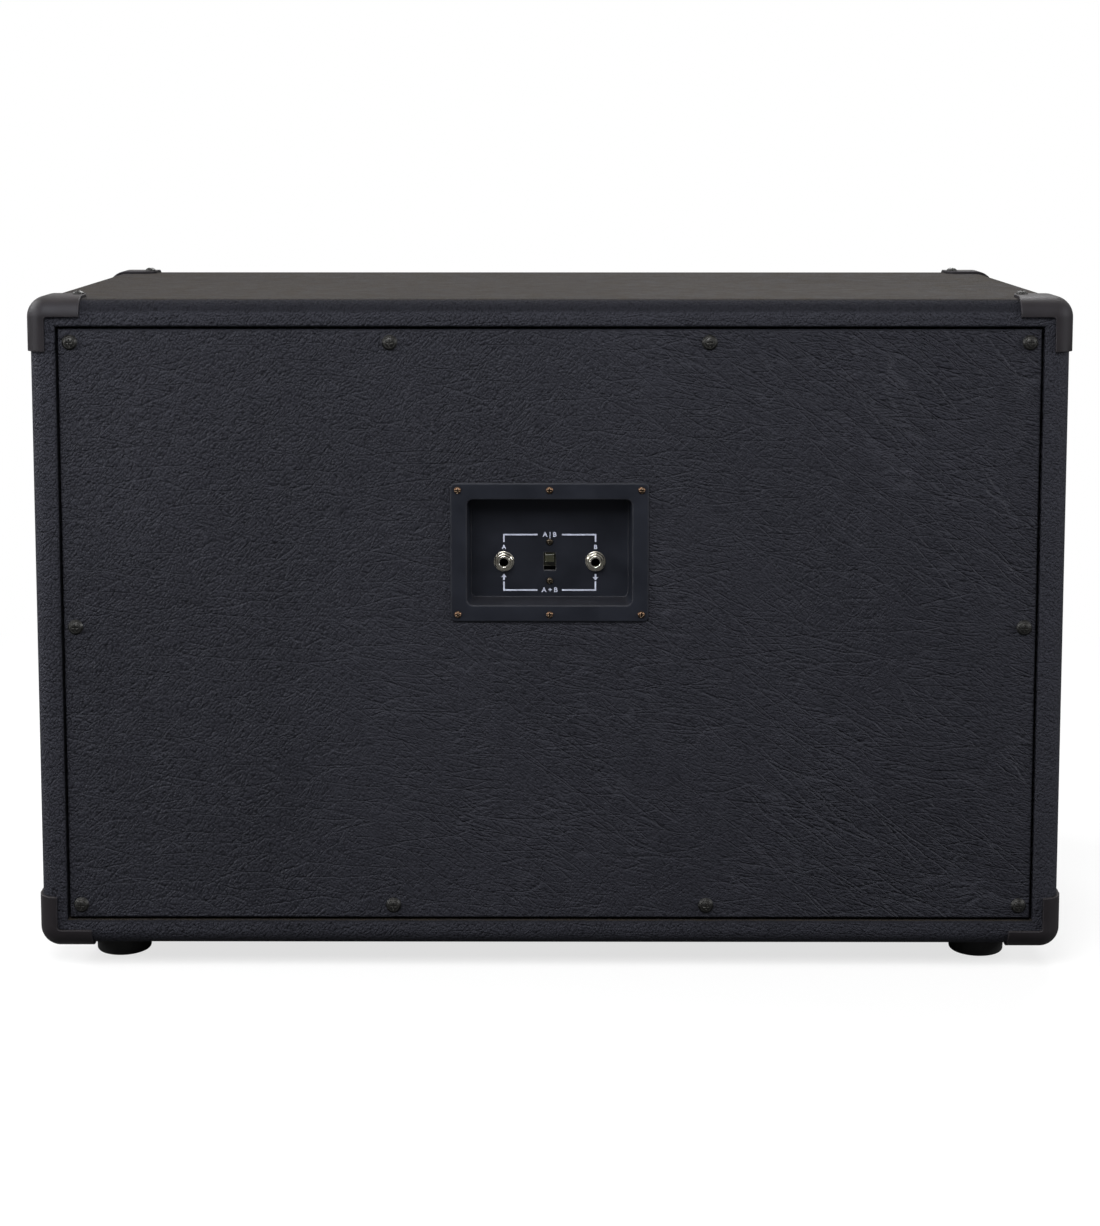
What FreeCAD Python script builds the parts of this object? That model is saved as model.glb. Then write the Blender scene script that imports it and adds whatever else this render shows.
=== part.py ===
import FreeCAD, Part
import math
import os

from FreeCAD import Placement, Rotation, Vector

# Guitar speaker cabinet with two 12 inch loudspeakers and a closed, screwed-on back.
# Millimetres. +Z is up, the grille faces -Y, the jack plate faces +Y.
# The origin is on the floor under the middle. Left and right are as seen from the front.

# Cabinet, measured over its covering
cabinet_width = 750.0
cabinet_height = 478.0
cabinet_depth = 356.0
board_thickness = 18.0
covering_thickness = 0.8
edge_radius = 13.0
rim_radius = 2.0
finger_count = 7
cut_overrun = 4.0
hole_clearance = 0.15

# Cross recess of every screw, as shares of its head
recess_width_share = 0.3
recess_reach_share = 0.68
recess_depth_share = 0.6
head_rim_share = 0.3
point_share = 1.6

# Rubber feet
foot_height = 19.0
foot_top_radius = 21.0
foot_bottom_radius = 20.2
foot_edge_radius = 2.0
foot_side_inset = 51.5
foot_end_inset = 53.0
foot_recess_radius = 7.5
foot_recess_depth = 9.0
foot_screw_head_radius = 6.0
foot_screw_head_height = 3.2
foot_screw_radius = 2.4
foot_screw_length = 24.0

# Corner protectors
corner_thickness = 2.2
corner_reach = 37.5
corner_leg_width = 12.5
corner_leg_fillet = 2.5
corner_flange_radius = 11.0
corner_relief = 0.4
corner_screw_side_inset = 32.0
corner_screw_end_inset = 27.0
corner_screw_head_radius = 4.3
corner_screw_head_height = 2.4
corner_screw_radius = 1.9
corner_screw_length = 15.0

# Rear panel, its cleats, screws and cup washers
rear_panel_thickness = 15.0
rear_panel_recess = 2.0
rear_panel_gap = 1.8
rear_panel_edge_radius = 1.6
rear_cleat_size = 20.0
rear_screw_side_inset = 10.4
rear_screw_end_inset = 11.4
rear_screw_head_radius = 3.5
rear_screw_dome_height = 0.9
rear_screw_radius = 1.8
rear_screw_length = 30.0
cup_washer_radius = 5.6
cup_washer_rim = 0.4
cup_washer_crown = 0.5

# Jack plate, a flanged dish let into the rear panel
plate_width = 144.0
plate_height = 102.0
plate_rim = 12.2
plate_thickness = 1.8
plate_corner_radius = 4.0
plate_lip_radius = 1.2
plate_rise = 55.4
plate_cutout_clearance = 1.5
dish_corner_radius = 4.2
dish_mouth_radius = 0.9
dish_depth = 22.0
dish_draft = 2.0
plate_screw_inset = 5.4
plate_screw_head_radius = 2.6
plate_screw_head_height = 1.6
plate_screw_radius = 1.6
plate_screw_length = 14.0

# Quarter inch jacks
jack_spacing = 67.2
jack_drop = 10.3
jack_bore_radius = 3.25
jack_thread_radius = 4.7
jack_thread_projection = 5.6
jack_shoulder_radius = 7.5
jack_shoulder_thickness = 2.0
jack_washer_radius = 7.5
jack_washer_thickness = 0.9
jack_washer_chamfer = 0.3
jack_nut_flats = 12.0
jack_nut_thickness = 2.6
jack_nut_chamfer = 0.7
jack_frame_gauge = 1.2
jack_frame_width = 14.0
jack_frame_drop = 9.0
jack_arm_offset = 9.0
jack_arm_width = 9.0
jack_arm_length = 6.0
insulator_height = 5.0
insulator_length = 8.0
insulator_slot_depth = 3.2
insulator_slot_height = 1.9
contact_gauge = 0.5
contact_width = 5.0
contact_reach = 7.0
contact_foot = 3.0
contact_drop = 10.5
contact_tail = 2.6
contact_bead_radius = 0.9
contact_bead_standoff = 0.4

# Slide switch
switch_slot_width = 8.6
switch_slot_height = 13.0
switch_screw_spacing = 29.0
switch_frame_width = 13.0
switch_frame_length = 36.0
switch_frame_gauge = 1.0
switch_body_depth = 9.0
switch_wall = 1.2
switch_clearance = 0.3
switch_knob_width = 6.4
switch_knob_height = 6.0
switch_knob_projection = 4.0
switch_knob_edge_radius = 0.6
switch_carriage_length = 14.0
switch_carriage_depth = 4.0
switch_slot_end_play = 0.5
switch_screw_head_radius = 2.6
switch_screw_head_height = 1.7
switch_screw_radius = 1.4
switch_screw_length = 6.0
switch_lug_width = 2.4
switch_lug_gauge = 0.8
switch_lug_length = 6.0
switch_lug_column_spacing = 8.0
switch_lug_row_spacing = 6.5

# Grille, let into the front opening
grille_recess = 8.0
grille_gap = 1.5
grille_cloth_thickness = 0.9
grille_frame_thickness = 12.0
grille_frame_width = 32.0
grille_pad_thickness = 2.4
grille_pad_width = 40.0
grille_pad_height = 22.0

# Baffle
baffle_thickness = 17.5
baffle_cleat_size = 18.0

# Side handles, moulded cups with a grip bar
handle_width = 178.0
handle_height = 112.0
handle_flange_thickness = 2.2
handle_flange_edge_radius = 1.4
handle_corner_radius = 16.0
handle_rim_side = 18.0
handle_rim_end = 16.0
handle_mouth_radius = 18.0
handle_taper = 9.5
handle_floor_radius = 14.0
handle_depth = 52.0
handle_wall = 2.6
handle_rise = 60.0
handle_cutout_clearance = 1.0
handle_bar_height = 20.0
handle_bar_depth = 16.0
handle_bar_radius = 6.0
handle_bar_rise = 14.0
handle_bar_inset = 3.0
handle_screw_inset = 9.0
handle_screw_head_radius = 4.3
handle_screw_head_height = 2.4
handle_screw_radius = 1.9
handle_screw_length = 15.0

# Loudspeakers, depths measured from the rear face of the baffle
speaker_side_margin = 28.0
speaker_gap = 39.0
speaker_flange_width = 13.5
speaker_bolt_inset = 6.0
speaker_bolt_count = 8
gasket_thickness = 3.0
gasket_width = 11.5
surround_gauge = 0.7
surround_width = 20.0
surround_wave_height = 2.0
surround_wave_count = 4
basket_gauge = 1.6
basket_ledge_radius = 85.0
basket_ledge_width = 18.0
basket_ledge_depth = 74.0
basket_seat_radius = 62.0
basket_seat_depth = 95.0
basket_seat_hole_radius = 27.0
basket_window_count = 8
basket_window_angle = 30.0
basket_window_margin = 11.0
cone_neck_depth = 62.0
cone_gauge = 1.0
cone_gap = 0.3
dust_cap_radius = 34.0
dust_cap_height = 12.0
dust_cap_gauge = 0.8
dust_cap_gap = 0.15
coil_former_radius = 22.0
coil_former_gauge = 0.4
coil_winding_gauge = 0.6
coil_winding_length = 14.0
coil_glue_gap = 0.1
coil_overlap = 3.0
spider_radius = 82.0
spider_gauge = 0.7
spider_clearance = 1.0
spider_wave_height = 2.4
spider_wave_count = 10
top_plate_radius = 60.0
top_plate_thickness = 8.0
top_plate_hole_radius = 23.6
magnet_radius = 77.0
magnet_hole_radius = 32.0
magnet_thickness = 20.0
yoke_radius = 62.0
yoke_thickness = 9.0
pole_radius = 21.4
speaker_bolt_radius = 2.4
speaker_bolt_head_radius = 4.6
speaker_bolt_head_height = 3.2
tee_nut_flange_radius = 9.0
tee_nut_flange_thickness = 1.4
tee_nut_barrel_radius = 3.7
tee_nut_barrel_length = 12.0
terminal_board_width = 32.0
terminal_board_height = 13.0
terminal_board_thickness = 2.0
terminal_lug_width = 4.8
terminal_lug_gauge = 0.8
terminal_lug_length = 24.0
terminal_lug_spacing = 18.0

# Wires inside the cabinet
wire_radius = 1.4
wire_arc_share = 0.45
wire_lane_pitch = 6.0
wire_first_run = 36.0
wire_cross_x = 80.0
wire_cross_y = 60.0
wire_over_y = 0.0
wire_over_rise = 60.0
link_first_run = 16.0
link_step_x = 20.0
link_step_y = 8.0
link_step_z = 20.0
link_rise = 18.0
ground_drop = 13.0
ground_step_y = 6.0
ground_step_z = 8.0

# Planes and places worked out from the sizes above
half_width = cabinet_width / 2
rear_y = cabinet_depth / 2
front_y = -rear_y
base_z = foot_height
top_z = base_z + cabinet_height
middle_z = (base_z + top_z) / 2
wall_over_covering = board_thickness + 2 * covering_thickness
inner_half_width = half_width - covering_thickness - board_thickness
inner_half_height = cabinet_height / 2 - covering_thickness - board_thickness
inner_base_z = middle_z - inner_half_height
inner_top_z = middle_z + inner_half_height
opening_half_width = half_width - wall_over_covering
opening_half_height = cabinet_height / 2 - wall_over_covering

panel_face_y = rear_y - rear_panel_recess
panel_wood_y = panel_face_y - covering_thickness
panel_inner_y = panel_wood_y - rear_panel_thickness
panel_half_width = opening_half_width - rear_panel_gap
panel_half_height = opening_half_height - rear_panel_gap
rear_screw_sink = rear_screw_head_radius - rear_screw_radius
cup_washer_height = rear_screw_sink + cup_washer_rim

grille_face_y = front_y + grille_recess
grille_frame_front_y = grille_face_y + grille_cloth_thickness
grille_frame_rear_y = grille_frame_front_y + grille_frame_thickness
baffle_front_y = grille_frame_rear_y + grille_pad_thickness
baffle_rear_y = baffle_front_y + baffle_thickness

plate_z = middle_z + plate_rise
dish_width = plate_width - 2 * plate_rim
dish_height = plate_height - 2 * plate_rim
plate_face_y = panel_face_y + plate_thickness
dish_floor_y = plate_face_y - dish_depth
dish_inner_y = dish_floor_y - plate_thickness
jack_z = plate_z - jack_drop
jack_shoulder_y = dish_inner_y - jack_shoulder_thickness
jack_frame_y = jack_shoulder_y - jack_frame_gauge
insulator_base = jack_arm_offset + jack_frame_gauge
insulator_rear_y = jack_frame_y - jack_arm_length
contact_root_y = insulator_rear_y - contact_bead_radius - contact_bead_standoff
insulator_top_z = jack_z + insulator_base + insulator_height
contact_level = jack_z + insulator_base + insulator_height / 2

handle_z = middle_z + handle_rise
handle_mouth_width = handle_width - 2 * handle_rim_side
handle_mouth_height = handle_height - 2 * handle_rim_end
handle_floor_width = handle_mouth_width - 2 * handle_taper
handle_floor_height = handle_mouth_height - 2 * handle_taper

switch_travel = switch_slot_height - switch_knob_height - 2 * switch_slot_end_play
switch_body_length = switch_carriage_length + switch_travel + 2 * (switch_clearance + switch_wall)
switch_frame_y = dish_inner_y - switch_frame_gauge
switch_back_y = switch_frame_y - switch_body_depth

speaker_radius = (inner_half_width - speaker_side_margin - speaker_gap / 2) / 2
speaker_offset = speaker_gap / 2 + speaker_radius
speaker_bolt_circle_radius = speaker_radius - speaker_bolt_inset
gasket_inner_radius = speaker_radius - gasket_width
basket_throat_radius = speaker_radius - speaker_flange_width
cone_radius = basket_throat_radius - surround_width
flange_front = gasket_thickness + surround_gauge
flange_rear = flange_front + basket_gauge
seat_rear = basket_seat_depth + basket_gauge
magnet_front = seat_rear + top_plate_thickness
yoke_front = magnet_front + magnet_thickness
coil_former_outer = coil_former_radius + coil_former_gauge
cone_neck_radius = coil_former_outer + coil_glue_gap
gap_middle = seat_rear + top_plate_thickness / 2
coil_end = gap_middle + coil_winding_length / 2
terminal_front = basket_ledge_depth + basket_gauge
terminal_lug_front = terminal_front + terminal_board_thickness
terminal_radius = basket_ledge_radius - basket_ledge_width / 2
terminal_lug_end = terminal_radius - terminal_board_height / 2 + terminal_lug_length

sides = (("left", -1), ("right", 1))
outward_x = Vector(1, 0, 0)
outward_y = Vector(0, 1, 0)
upward = Vector(0, 0, 1)


# Building blocks

def block(low, high):
    sizes = [b - a for a, b in zip(low, high)]
    return Part.makeBox(*sizes, Vector(*low))


def on_y(y, x=0, z=0):
    return lambda u, v: Vector(x + u, y, z + v)


def on_x(x, y=0, z=0):
    return lambda u, v: Vector(x, y + u, z + v)


def on_z(z, x=0, y=0):
    return lambda u, v: Vector(x + u, y + v, z)


def rounded_outline(width, height, radius, place):
    across = width / 2
    along = height / 2
    knee = radius * (1 - math.sqrt(0.5))
    corners = ((1, 1), (-1, 1), (-1, -1), (1, -1))
    ends = []
    for su, sv in corners:
        on_side = place(su * across, sv * (along - radius))
        on_end = place(su * (across - radius), sv * along)
        middle = place(su * (across - knee), sv * (along - knee))
        ends.append((on_side, middle, on_end) if su * sv > 0 else (on_end, middle, on_side))
    edges = []
    for index, (first, middle, last) in enumerate(ends):
        edges.append(Part.Arc(first, middle, last).toShape())
        edges.append(Part.LineSegment(last, ends[(index + 1) % len(ends)][0]).toShape())
    return Part.Wire(edges)


def rounded_slab(width, height, radius, place, travel):
    return Part.Face(rounded_outline(width, height, radius, place)).extrude(travel)


def turned(points, centre, axis=outward_y, angle=360.0):
    # points are (radius, distance along the axis) round a closed outline
    arm = outward_x if axis.x == 0 else upward
    corners = [centre + arm * radius + axis * along for radius, along in points]
    face = Part.Face(Part.makePolygon(corners + corners[:1]))
    return face.revolve(centre, axis, angle)


def ring(inner_radius, outer_radius, start, end, centre, axis=outward_y):
    outline = [(inner_radius, start), (outer_radius, start), (outer_radius, end), (inner_radius, end)]
    return turned(outline, centre, axis)


def placed(shape, position, direction):
    moved = shape.copy()
    moved.Placement = Placement(position, Rotation(upward, direction))
    return moved


def group(shapes):
    return Part.makeCompound(list(shapes))


def pilots(places, radius, length):
    # drills for screws of this radius and length
    return holes(places, radius + hole_clearance, length + hole_clearance)


def holes(places, radius, depth):
    # one drill for each (position, outward direction), from just outside to depth
    return [
        Part.makeCylinder(radius, depth + cut_overrun, spot + out * cut_overrun, out * -1)
        for spot, out in places
    ]


def mirrored(shape, normal):
    return shape.mirror(Vector(0, 0, middle_z), normal)


def screw(head_radius, head_height, radius, length, sink=0.0):
    # the head's rim is at zero, a sunk head tapers below it, the shank ends in a point
    rim = head_height * head_rim_share
    bulge = math.sqrt(0.5)
    crown = Vector(head_radius * bulge, 0, rim + (head_height - rim) * bulge)
    neck = [Vector(radius, 0, -sink), Vector(head_radius, 0, 0), Vector(head_radius, 0, rim)]
    tip = [Vector(0, 0, -length), Vector(radius, 0, point_share * radius - length)]
    below = Part.makePolygon([Vector(0, 0, head_height)] + tip + neck)
    dome = Part.Arc(neck[-1], crown, Vector(0, 0, head_height)).toShape()
    body = Part.Face(Part.Wire(below.Edges + [dome])).revolve(Vector(), upward, 360)
    reach = head_radius * recess_reach_share
    half_slot = head_radius * recess_width_share / 2
    floor = head_height * (1 - recess_depth_share)
    ceiling = head_height + cut_overrun
    slots = [
        block((-reach, -half_slot, floor), (reach, half_slot, ceiling)),
        block((-half_slot, -reach, floor), (half_slot, reach, ceiling)),
    ]
    return body.cut(slots)


def pleats(inner_radius, outer_radius, level, height, count):
    # a zigzag from the outer radius in to the inner one
    step = (outer_radius - inner_radius) / count
    line = [(outer_radius, level)]
    for index in range(count):
        swing = height if index % 2 else -height
        line.append((outer_radius - step * (index + 0.5), level + swing))
    line.append((inner_radius, level))
    return line


def thick_line(line, gauge):
    return line + [(radius, along + gauge) for radius, along in reversed(line)]


# Cabinet shell

def rounded_box(inset, radius):
    low = (inset - half_width, front_y + inset, base_z + inset)
    high = (half_width - inset, rear_y - inset, top_z - inset)
    box = block(low, high)
    return box.makeFillet(radius, box.Edges)


def open_box(inset):
    # the shell as one tube: the wood at the covering's thickness, its covering at zero
    across = opening_half_width + inset
    along = opening_half_height + inset
    tunnel = block(
        (-across, front_y - cut_overrun, middle_z - along),
        (across, rear_y + cut_overrun, middle_z + along),
    )
    tube = rounded_box(inset, edge_radius - inset).cut(tunnel)
    rim = []
    for edge in tube.Edges:
        centre = edge.CenterOfMass
        flat = abs(abs(centre.y) - (rear_y - inset)) < covering_thickness / 2
        inside = abs(centre.x) < across + covering_thickness
        inside = inside and abs(centre.z - middle_z) < along + covering_thickness
        if flat and inside:
            rim.append(edge)
    return tube.makeFillet(rim_radius - inset, rim)


def fingers(parity, x_low, x_high, z_low, z_high):
    # blocks along the depth, every other one of the finger joint
    start = front_y + covering_thickness
    pitch = (cabinet_depth - 2 * covering_thickness) / finger_count
    lows = [start + pitch * index for index in range(parity, finger_count, 2)]
    return [block((x_low, low, z_low), (x_high, low + pitch, z_high)) for low in lows]


def level_board(wood, z_low, z_high, cutters):
    board = block((-half_width, front_y, z_low), (half_width, rear_y, z_high))
    notches = fingers(1, -half_width, -inner_half_width, z_low, z_high)
    notches += fingers(1, inner_half_width, half_width, z_low, z_high)
    return board.cut(notches).common(wood).cut(cutters)


def upright_board(wood, side, cutters):
    x_low, x_high = sorted((side * inner_half_width, side * half_width))
    board = block((x_low, front_y, base_z), (x_high, rear_y, top_z))
    notches = fingers(0, x_low, x_high, base_z, inner_base_z)
    notches += fingers(0, x_low, x_high, inner_top_z, top_z)
    return board.cut(notches).common(wood).cut(cutters)


def covering(wood, cutters):
    lining = block(
        (-inner_half_width, baffle_front_y, inner_base_z),
        (inner_half_width, panel_inner_y, inner_top_z),
    )
    return open_box(0).cut(wood).cut(lining).cut(cutters)


def cleats(size, y_low, y_high):
    x_in = inner_half_width - size
    pieces = [
        block((-inner_half_width, y_low, inner_base_z), (inner_half_width, y_high, inner_base_z + size)),
        block((-inner_half_width, y_low, inner_top_z - size), (inner_half_width, y_high, inner_top_z)),
    ]
    for low, high in ((-inner_half_width, -x_in), (x_in, inner_half_width)):
        pieces.append(block((low, y_low, inner_base_z + size), (high, y_high, inner_top_z - size)))
    return pieces


# Corner protectors

def corner_protector(screw_places):
    # built on the right rear top corner: an L on the rear face, a flange on the top and on the side
    skin = rounded_box(-corner_thickness, edge_radius + corner_thickness)
    skin = skin.cut(rounded_box(0, edge_radius - corner_relief))
    low = (half_width - corner_reach, rear_y - corner_reach, top_z - corner_reach)
    spare = corner_thickness + cut_overrun
    high = (half_width + spare, rear_y + spare, top_z + spare)
    cap = skin.common(block(low, high))
    span = 2 * (corner_reach - corner_leg_width)
    window = rounded_slab(
        span, span, corner_leg_fillet, on_y(rear_y - corner_thickness, low[0], low[2]), outward_y * spare * 2
    )
    width = 2 * (corner_reach + spare)
    drop = corner_thickness * 2
    over_top = on_z(top_z - corner_thickness, high[0], high[1])
    over_side = on_x(half_width - corner_thickness, high[1], high[2])
    top_flange = rounded_slab(width, width, corner_flange_radius, over_top, upward * spare * 2)
    side_flange = rounded_slab(width, width, corner_flange_radius, over_side, outward_x * spare * 2)
    top_zone = block((low[0], low[1], top_z - drop / 2), high).cut(top_flange)
    side_zone = block((half_width - drop / 2, low[1], low[2]), high).cut(side_flange)
    drills = holes(screw_places, corner_screw_radius + hole_clearance, corner_thickness + cut_overrun)
    return cap.cut([window, top_zone, side_zone] + drills)


def corner_screw_spots():
    # the two screws of the right rear top corner, on the flanges' outer faces
    x_in = half_width - corner_screw_side_inset
    y_in = rear_y - corner_screw_end_inset
    z_in = top_z - corner_screw_side_inset
    on_top = Vector(x_in, y_in, top_z + corner_thickness)
    on_side = Vector(half_width + corner_thickness, y_in, z_in)
    return [(on_top, upward), (on_side, outward_x)]


def flipped(place, flips):
    # a screw's spot and direction, mirrored to another corner
    spot, out = place
    sx, sy, sz = flips
    moved = Vector(spot.x * sx, spot.y * sy, middle_z + (spot.z - middle_z) * sz)
    return moved, Vector(out.x * sx, out.y * sy, out.z * sz)


corners = []
for end_name, sy in (("front", -1), ("rear", 1)):
    for height_name, sz in (("bottom", -1), ("top", 1)):
        for side_name, sx in sides:
            corners.append((f"{height_name}_{end_name}_{side_name}_corner", (sx, sy, sz)))


# Feet

def foot(centre):
    body = turned(
        [(0, 0), (foot_bottom_radius, 0), (foot_top_radius, foot_height), (0, foot_height)], centre, upward
    )
    bottom = [edge for edge in body.Edges if edge.BoundBox.ZMax < foot_edge_radius and edge.Closed]
    body = body.makeFillet(foot_edge_radius, bottom)
    recess = Part.makeCylinder(foot_recess_radius, foot_recess_depth, centre)
    hole = Part.makeCylinder(foot_screw_radius + hole_clearance, foot_height + cut_overrun, centre)
    return body.cut([recess, hole])


foot_centres = [
    Vector(sx * (half_width - foot_side_inset), sy * (rear_y - foot_end_inset), 0)
    for sx in (-1, 1)
    for sy in (-1, 1)
]
foot_screw_places = [(spot + upward * foot_recess_depth, upward * -1) for spot in foot_centres]


# Rear panel

def rear_screw_spots():
    across = opening_half_width - rear_screw_side_inset
    along = opening_half_height - rear_screw_end_inset
    columns = (-across, -across / 3, across / 3, across)
    spots = [(x, middle_z + z) for x in columns for z in (-along, along)]
    spots += [(-across, middle_z), (across, middle_z)]
    return [(Vector(x, panel_face_y, z), outward_y) for x, z in spots]


def panel_box(inset, y_low, y_high):
    across = panel_half_width - inset
    along = panel_half_height - inset
    return block((-across, y_low, middle_z - along), (across, y_high, middle_z + along))


def panel_cutout():
    spare = 2 * (plate_thickness + plate_cutout_clearance)
    return rounded_slab(
        dish_width + spare,
        dish_height + spare,
        dish_corner_radius,
        on_y(panel_inner_y - cut_overrun, 0, plate_z),
        outward_y * (rear_panel_thickness + covering_thickness + 2 * cut_overrun),
    )


def panel_covering(cutters):
    skin = panel_box(0, panel_inner_y, panel_face_y)
    rim = [edge for edge in skin.Edges if edge.BoundBox.YMin > panel_wood_y]
    skin = skin.makeFillet(rear_panel_edge_radius, rim)
    wood = rear_panel_wood([])
    return skin.cut(wood).cut(cutters)


def rear_panel_wood(cutters):
    board = panel_box(covering_thickness, panel_inner_y, panel_wood_y)
    rim = [edge for edge in board.Edges if edge.BoundBox.YMin > panel_inner_y + rear_panel_thickness / 2]
    board = board.makeFillet(rear_panel_edge_radius - covering_thickness, rim)
    return board.cut(cutters) if cutters else board


def cup_washer():
    hole = rear_screw_radius + hole_clearance
    mouth = hole + rear_screw_sink
    return turned(
        [
            (hole, 0),
            (cup_washer_radius, 0),
            (cup_washer_radius, cup_washer_rim),
            (mouth + cup_washer_crown, cup_washer_height),
            (mouth, cup_washer_height),
            (hole, cup_washer_rim),
        ],
        Vector(),
        upward,
    )


# Jack plate

def dish_loft(spare, y_mouth, y_floor):
    mouth = rounded_outline(
        dish_width + 2 * spare, dish_height + 2 * spare, dish_corner_radius, on_y(y_mouth, 0, plate_z)
    )
    shrink = spare - dish_draft
    floor = rounded_outline(
        dish_width + 2 * shrink, dish_height + 2 * shrink, dish_corner_radius, on_y(y_floor, 0, plate_z)
    )
    return Part.makeLoft([mouth, floor], True, True)


def dish_mouth_edges(shell):
    across = dish_width / 2 + plate_lip_radius
    along = dish_height / 2 + plate_lip_radius
    on_face = [edge for edge in shell.Edges if edge.BoundBox.YMin > plate_face_y - plate_lip_radius / 2]
    spots = [(edge, edge.BoundBox.Center) for edge in on_face]
    return [edge for edge, spot in spots if abs(spot.x) < across and abs(spot.z - plate_z) < along]


def jack_plate(cutters):
    seat = on_y(panel_face_y, 0, plate_z)
    flange = rounded_slab(plate_width, plate_height, plate_corner_radius, seat, outward_y * plate_thickness)
    rim = [edge for edge in flange.Edges if edge.BoundBox.YMin > panel_face_y + plate_thickness / 2]
    flange = flange.makeFillet(plate_lip_radius, rim)
    shell = flange.fuse(dish_loft(plate_thickness, panel_face_y, dish_inner_y))
    shell = shell.cut(dish_loft(0, plate_face_y, dish_floor_y)).removeSplitter()
    shell = shell.makeFillet(dish_mouth_radius, dish_mouth_edges(shell))
    return shell.cut(cutters).removeSplitter()


def plate_screw_spots():
    across = plate_width / 2 - plate_screw_inset
    along = plate_height / 2 - plate_screw_inset
    columns = (-across, 0, across)
    rows = (plate_z - along, plate_z + along)
    return [(Vector(x, plate_face_y, z), outward_y) for x in columns for z in rows]


# Jacks

def jack_axis(side):
    return Vector(side * jack_spacing / 2, dish_floor_y, jack_z)


def jack_body(side):
    axis = jack_axis(side)
    shoulder = jack_shoulder_y - dish_floor_y
    bush = turned(
        [
            (0, shoulder),
            (jack_shoulder_radius, shoulder),
            (jack_shoulder_radius, -plate_thickness),
            (jack_thread_radius, -plate_thickness),
            (jack_thread_radius, jack_thread_projection),
            (0, jack_thread_projection),
        ],
        axis,
    )
    across = jack_frame_width / 2
    plate = block(
        (axis.x - across, jack_frame_y, jack_z - jack_frame_drop),
        (axis.x + across, jack_shoulder_y, jack_z + insulator_base),
    )
    reach = jack_arm_width / 2
    arm = block(
        (axis.x - reach, insulator_rear_y, jack_z + jack_arm_offset),
        (axis.x + reach, jack_shoulder_y, jack_z + insulator_base),
    )
    depth = jack_thread_projection + dish_floor_y - jack_frame_y
    mouth = axis + outward_y * jack_thread_projection
    bore = holes([(mouth, outward_y)], jack_bore_radius, depth + cut_overrun)
    return bush.fuse([plate, arm]).removeSplitter().cut(bore)


def jack_washer(side):
    inner = jack_thread_radius + hole_clearance
    level = jack_washer_thickness - jack_washer_chamfer
    outline = [
        (inner, 0),
        (jack_washer_radius, 0),
        (jack_washer_radius, level),
        (jack_washer_radius - jack_washer_chamfer, jack_washer_thickness),
        (inner, jack_washer_thickness),
    ]
    return turned(outline, jack_axis(side))


def jack_nut(side):
    axis = jack_axis(side) + outward_y * jack_washer_thickness
    corner = jack_nut_flats / math.sqrt(3)
    angles = [math.pi / 3 * (index + 0.5) for index in range(6)]
    outline = [axis + Vector(corner * math.cos(a), 0, corner * math.sin(a)) for a in angles]
    hexagon = Part.Face(Part.makePolygon(outline + outline[:1])).extrude(outward_y * jack_nut_thickness)
    rounded = turned(
        [
            (0, 0),
            (corner, 0),
            (corner, jack_nut_thickness - jack_nut_chamfer),
            (jack_nut_flats / 2, jack_nut_thickness),
            (0, jack_nut_thickness),
        ],
        axis,
    )
    face = axis + outward_y * jack_nut_thickness
    thread = holes([(face, outward_y)], jack_thread_radius + hole_clearance, jack_nut_thickness + cut_overrun)
    return hexagon.common(rounded).cut(thread)


def jack_insulator(side):
    axis = jack_axis(side)
    reach = jack_arm_width / 2
    base = jack_z + insulator_base
    body = block(
        (axis.x - reach, insulator_rear_y, base),
        (axis.x + reach, insulator_rear_y + insulator_length, base + insulator_height),
    )
    level = contact_level
    slot = block(
        (axis.x - reach, insulator_rear_y, level - insulator_slot_height / 2),
        (axis.x + reach, insulator_rear_y + insulator_slot_depth, level + insulator_slot_height / 2),
    )
    return body.cut(slot)


def jack_contact(side):
    # a leaf clamped in the insulator's slot, reaching back and down to the plug's tip
    axis = jack_axis(side)
    level = contact_level
    knee_y = contact_root_y - contact_reach
    foot_y = knee_y - contact_foot
    tail_y = insulator_rear_y + contact_tail
    z_top = level + contact_gauge / 2
    z_under = level - contact_gauge / 2
    z_foot = z_top - contact_drop
    upper = [(tail_y, z_top), (knee_y, z_top), (foot_y, z_foot)]
    lower = [(foot_y + contact_gauge, z_foot), (knee_y + contact_gauge, z_under), (tail_y, z_under)]
    x_low = axis.x - contact_width / 2
    outline = [Vector(x_low, y, z) for y, z in upper + lower]
    leaf = Part.Face(Part.makePolygon(outline + outline[:1])).extrude(outward_x * contact_width)
    bead = Part.makeCylinder(
        contact_bead_radius, contact_width, Vector(x_low, contact_root_y, level), outward_x
    )
    return leaf.fuse(bead).removeSplitter()


# Slide switch

def switch_screw_spots(y):
    rows = (jack_z - switch_screw_spacing / 2, jack_z + switch_screw_spacing / 2)
    return [(Vector(0, y, z), outward_y) for z in rows]


def switch_slot(y_low, y_high):
    across = switch_slot_width / 2
    along = switch_slot_height / 2
    return block((-across, y_low, jack_z - along), (across, y_high, jack_z + along))


def switch_body():
    across = switch_frame_width / 2
    ears = switch_frame_length / 2
    low = jack_z - switch_body_length / 2
    high = jack_z + switch_body_length / 2
    frame = block((-across, switch_frame_y, jack_z - ears), (across, dish_inner_y, jack_z + ears))
    case = block((-across, switch_back_y, low), (across, switch_frame_y, high))
    inset = switch_wall
    cavity = block(
        (inset - across, switch_back_y + inset, low + inset), (across - inset, switch_frame_y, high - inset)
    )
    spots = switch_screw_spots(dish_inner_y)
    drills = holes(spots, switch_screw_radius + hole_clearance, switch_screw_length)
    slot = switch_slot(switch_frame_y - switch_wall, dish_inner_y + cut_overrun)
    return frame.fuse(case).cut([cavity, slot] + drills).removeSplitter()


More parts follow.
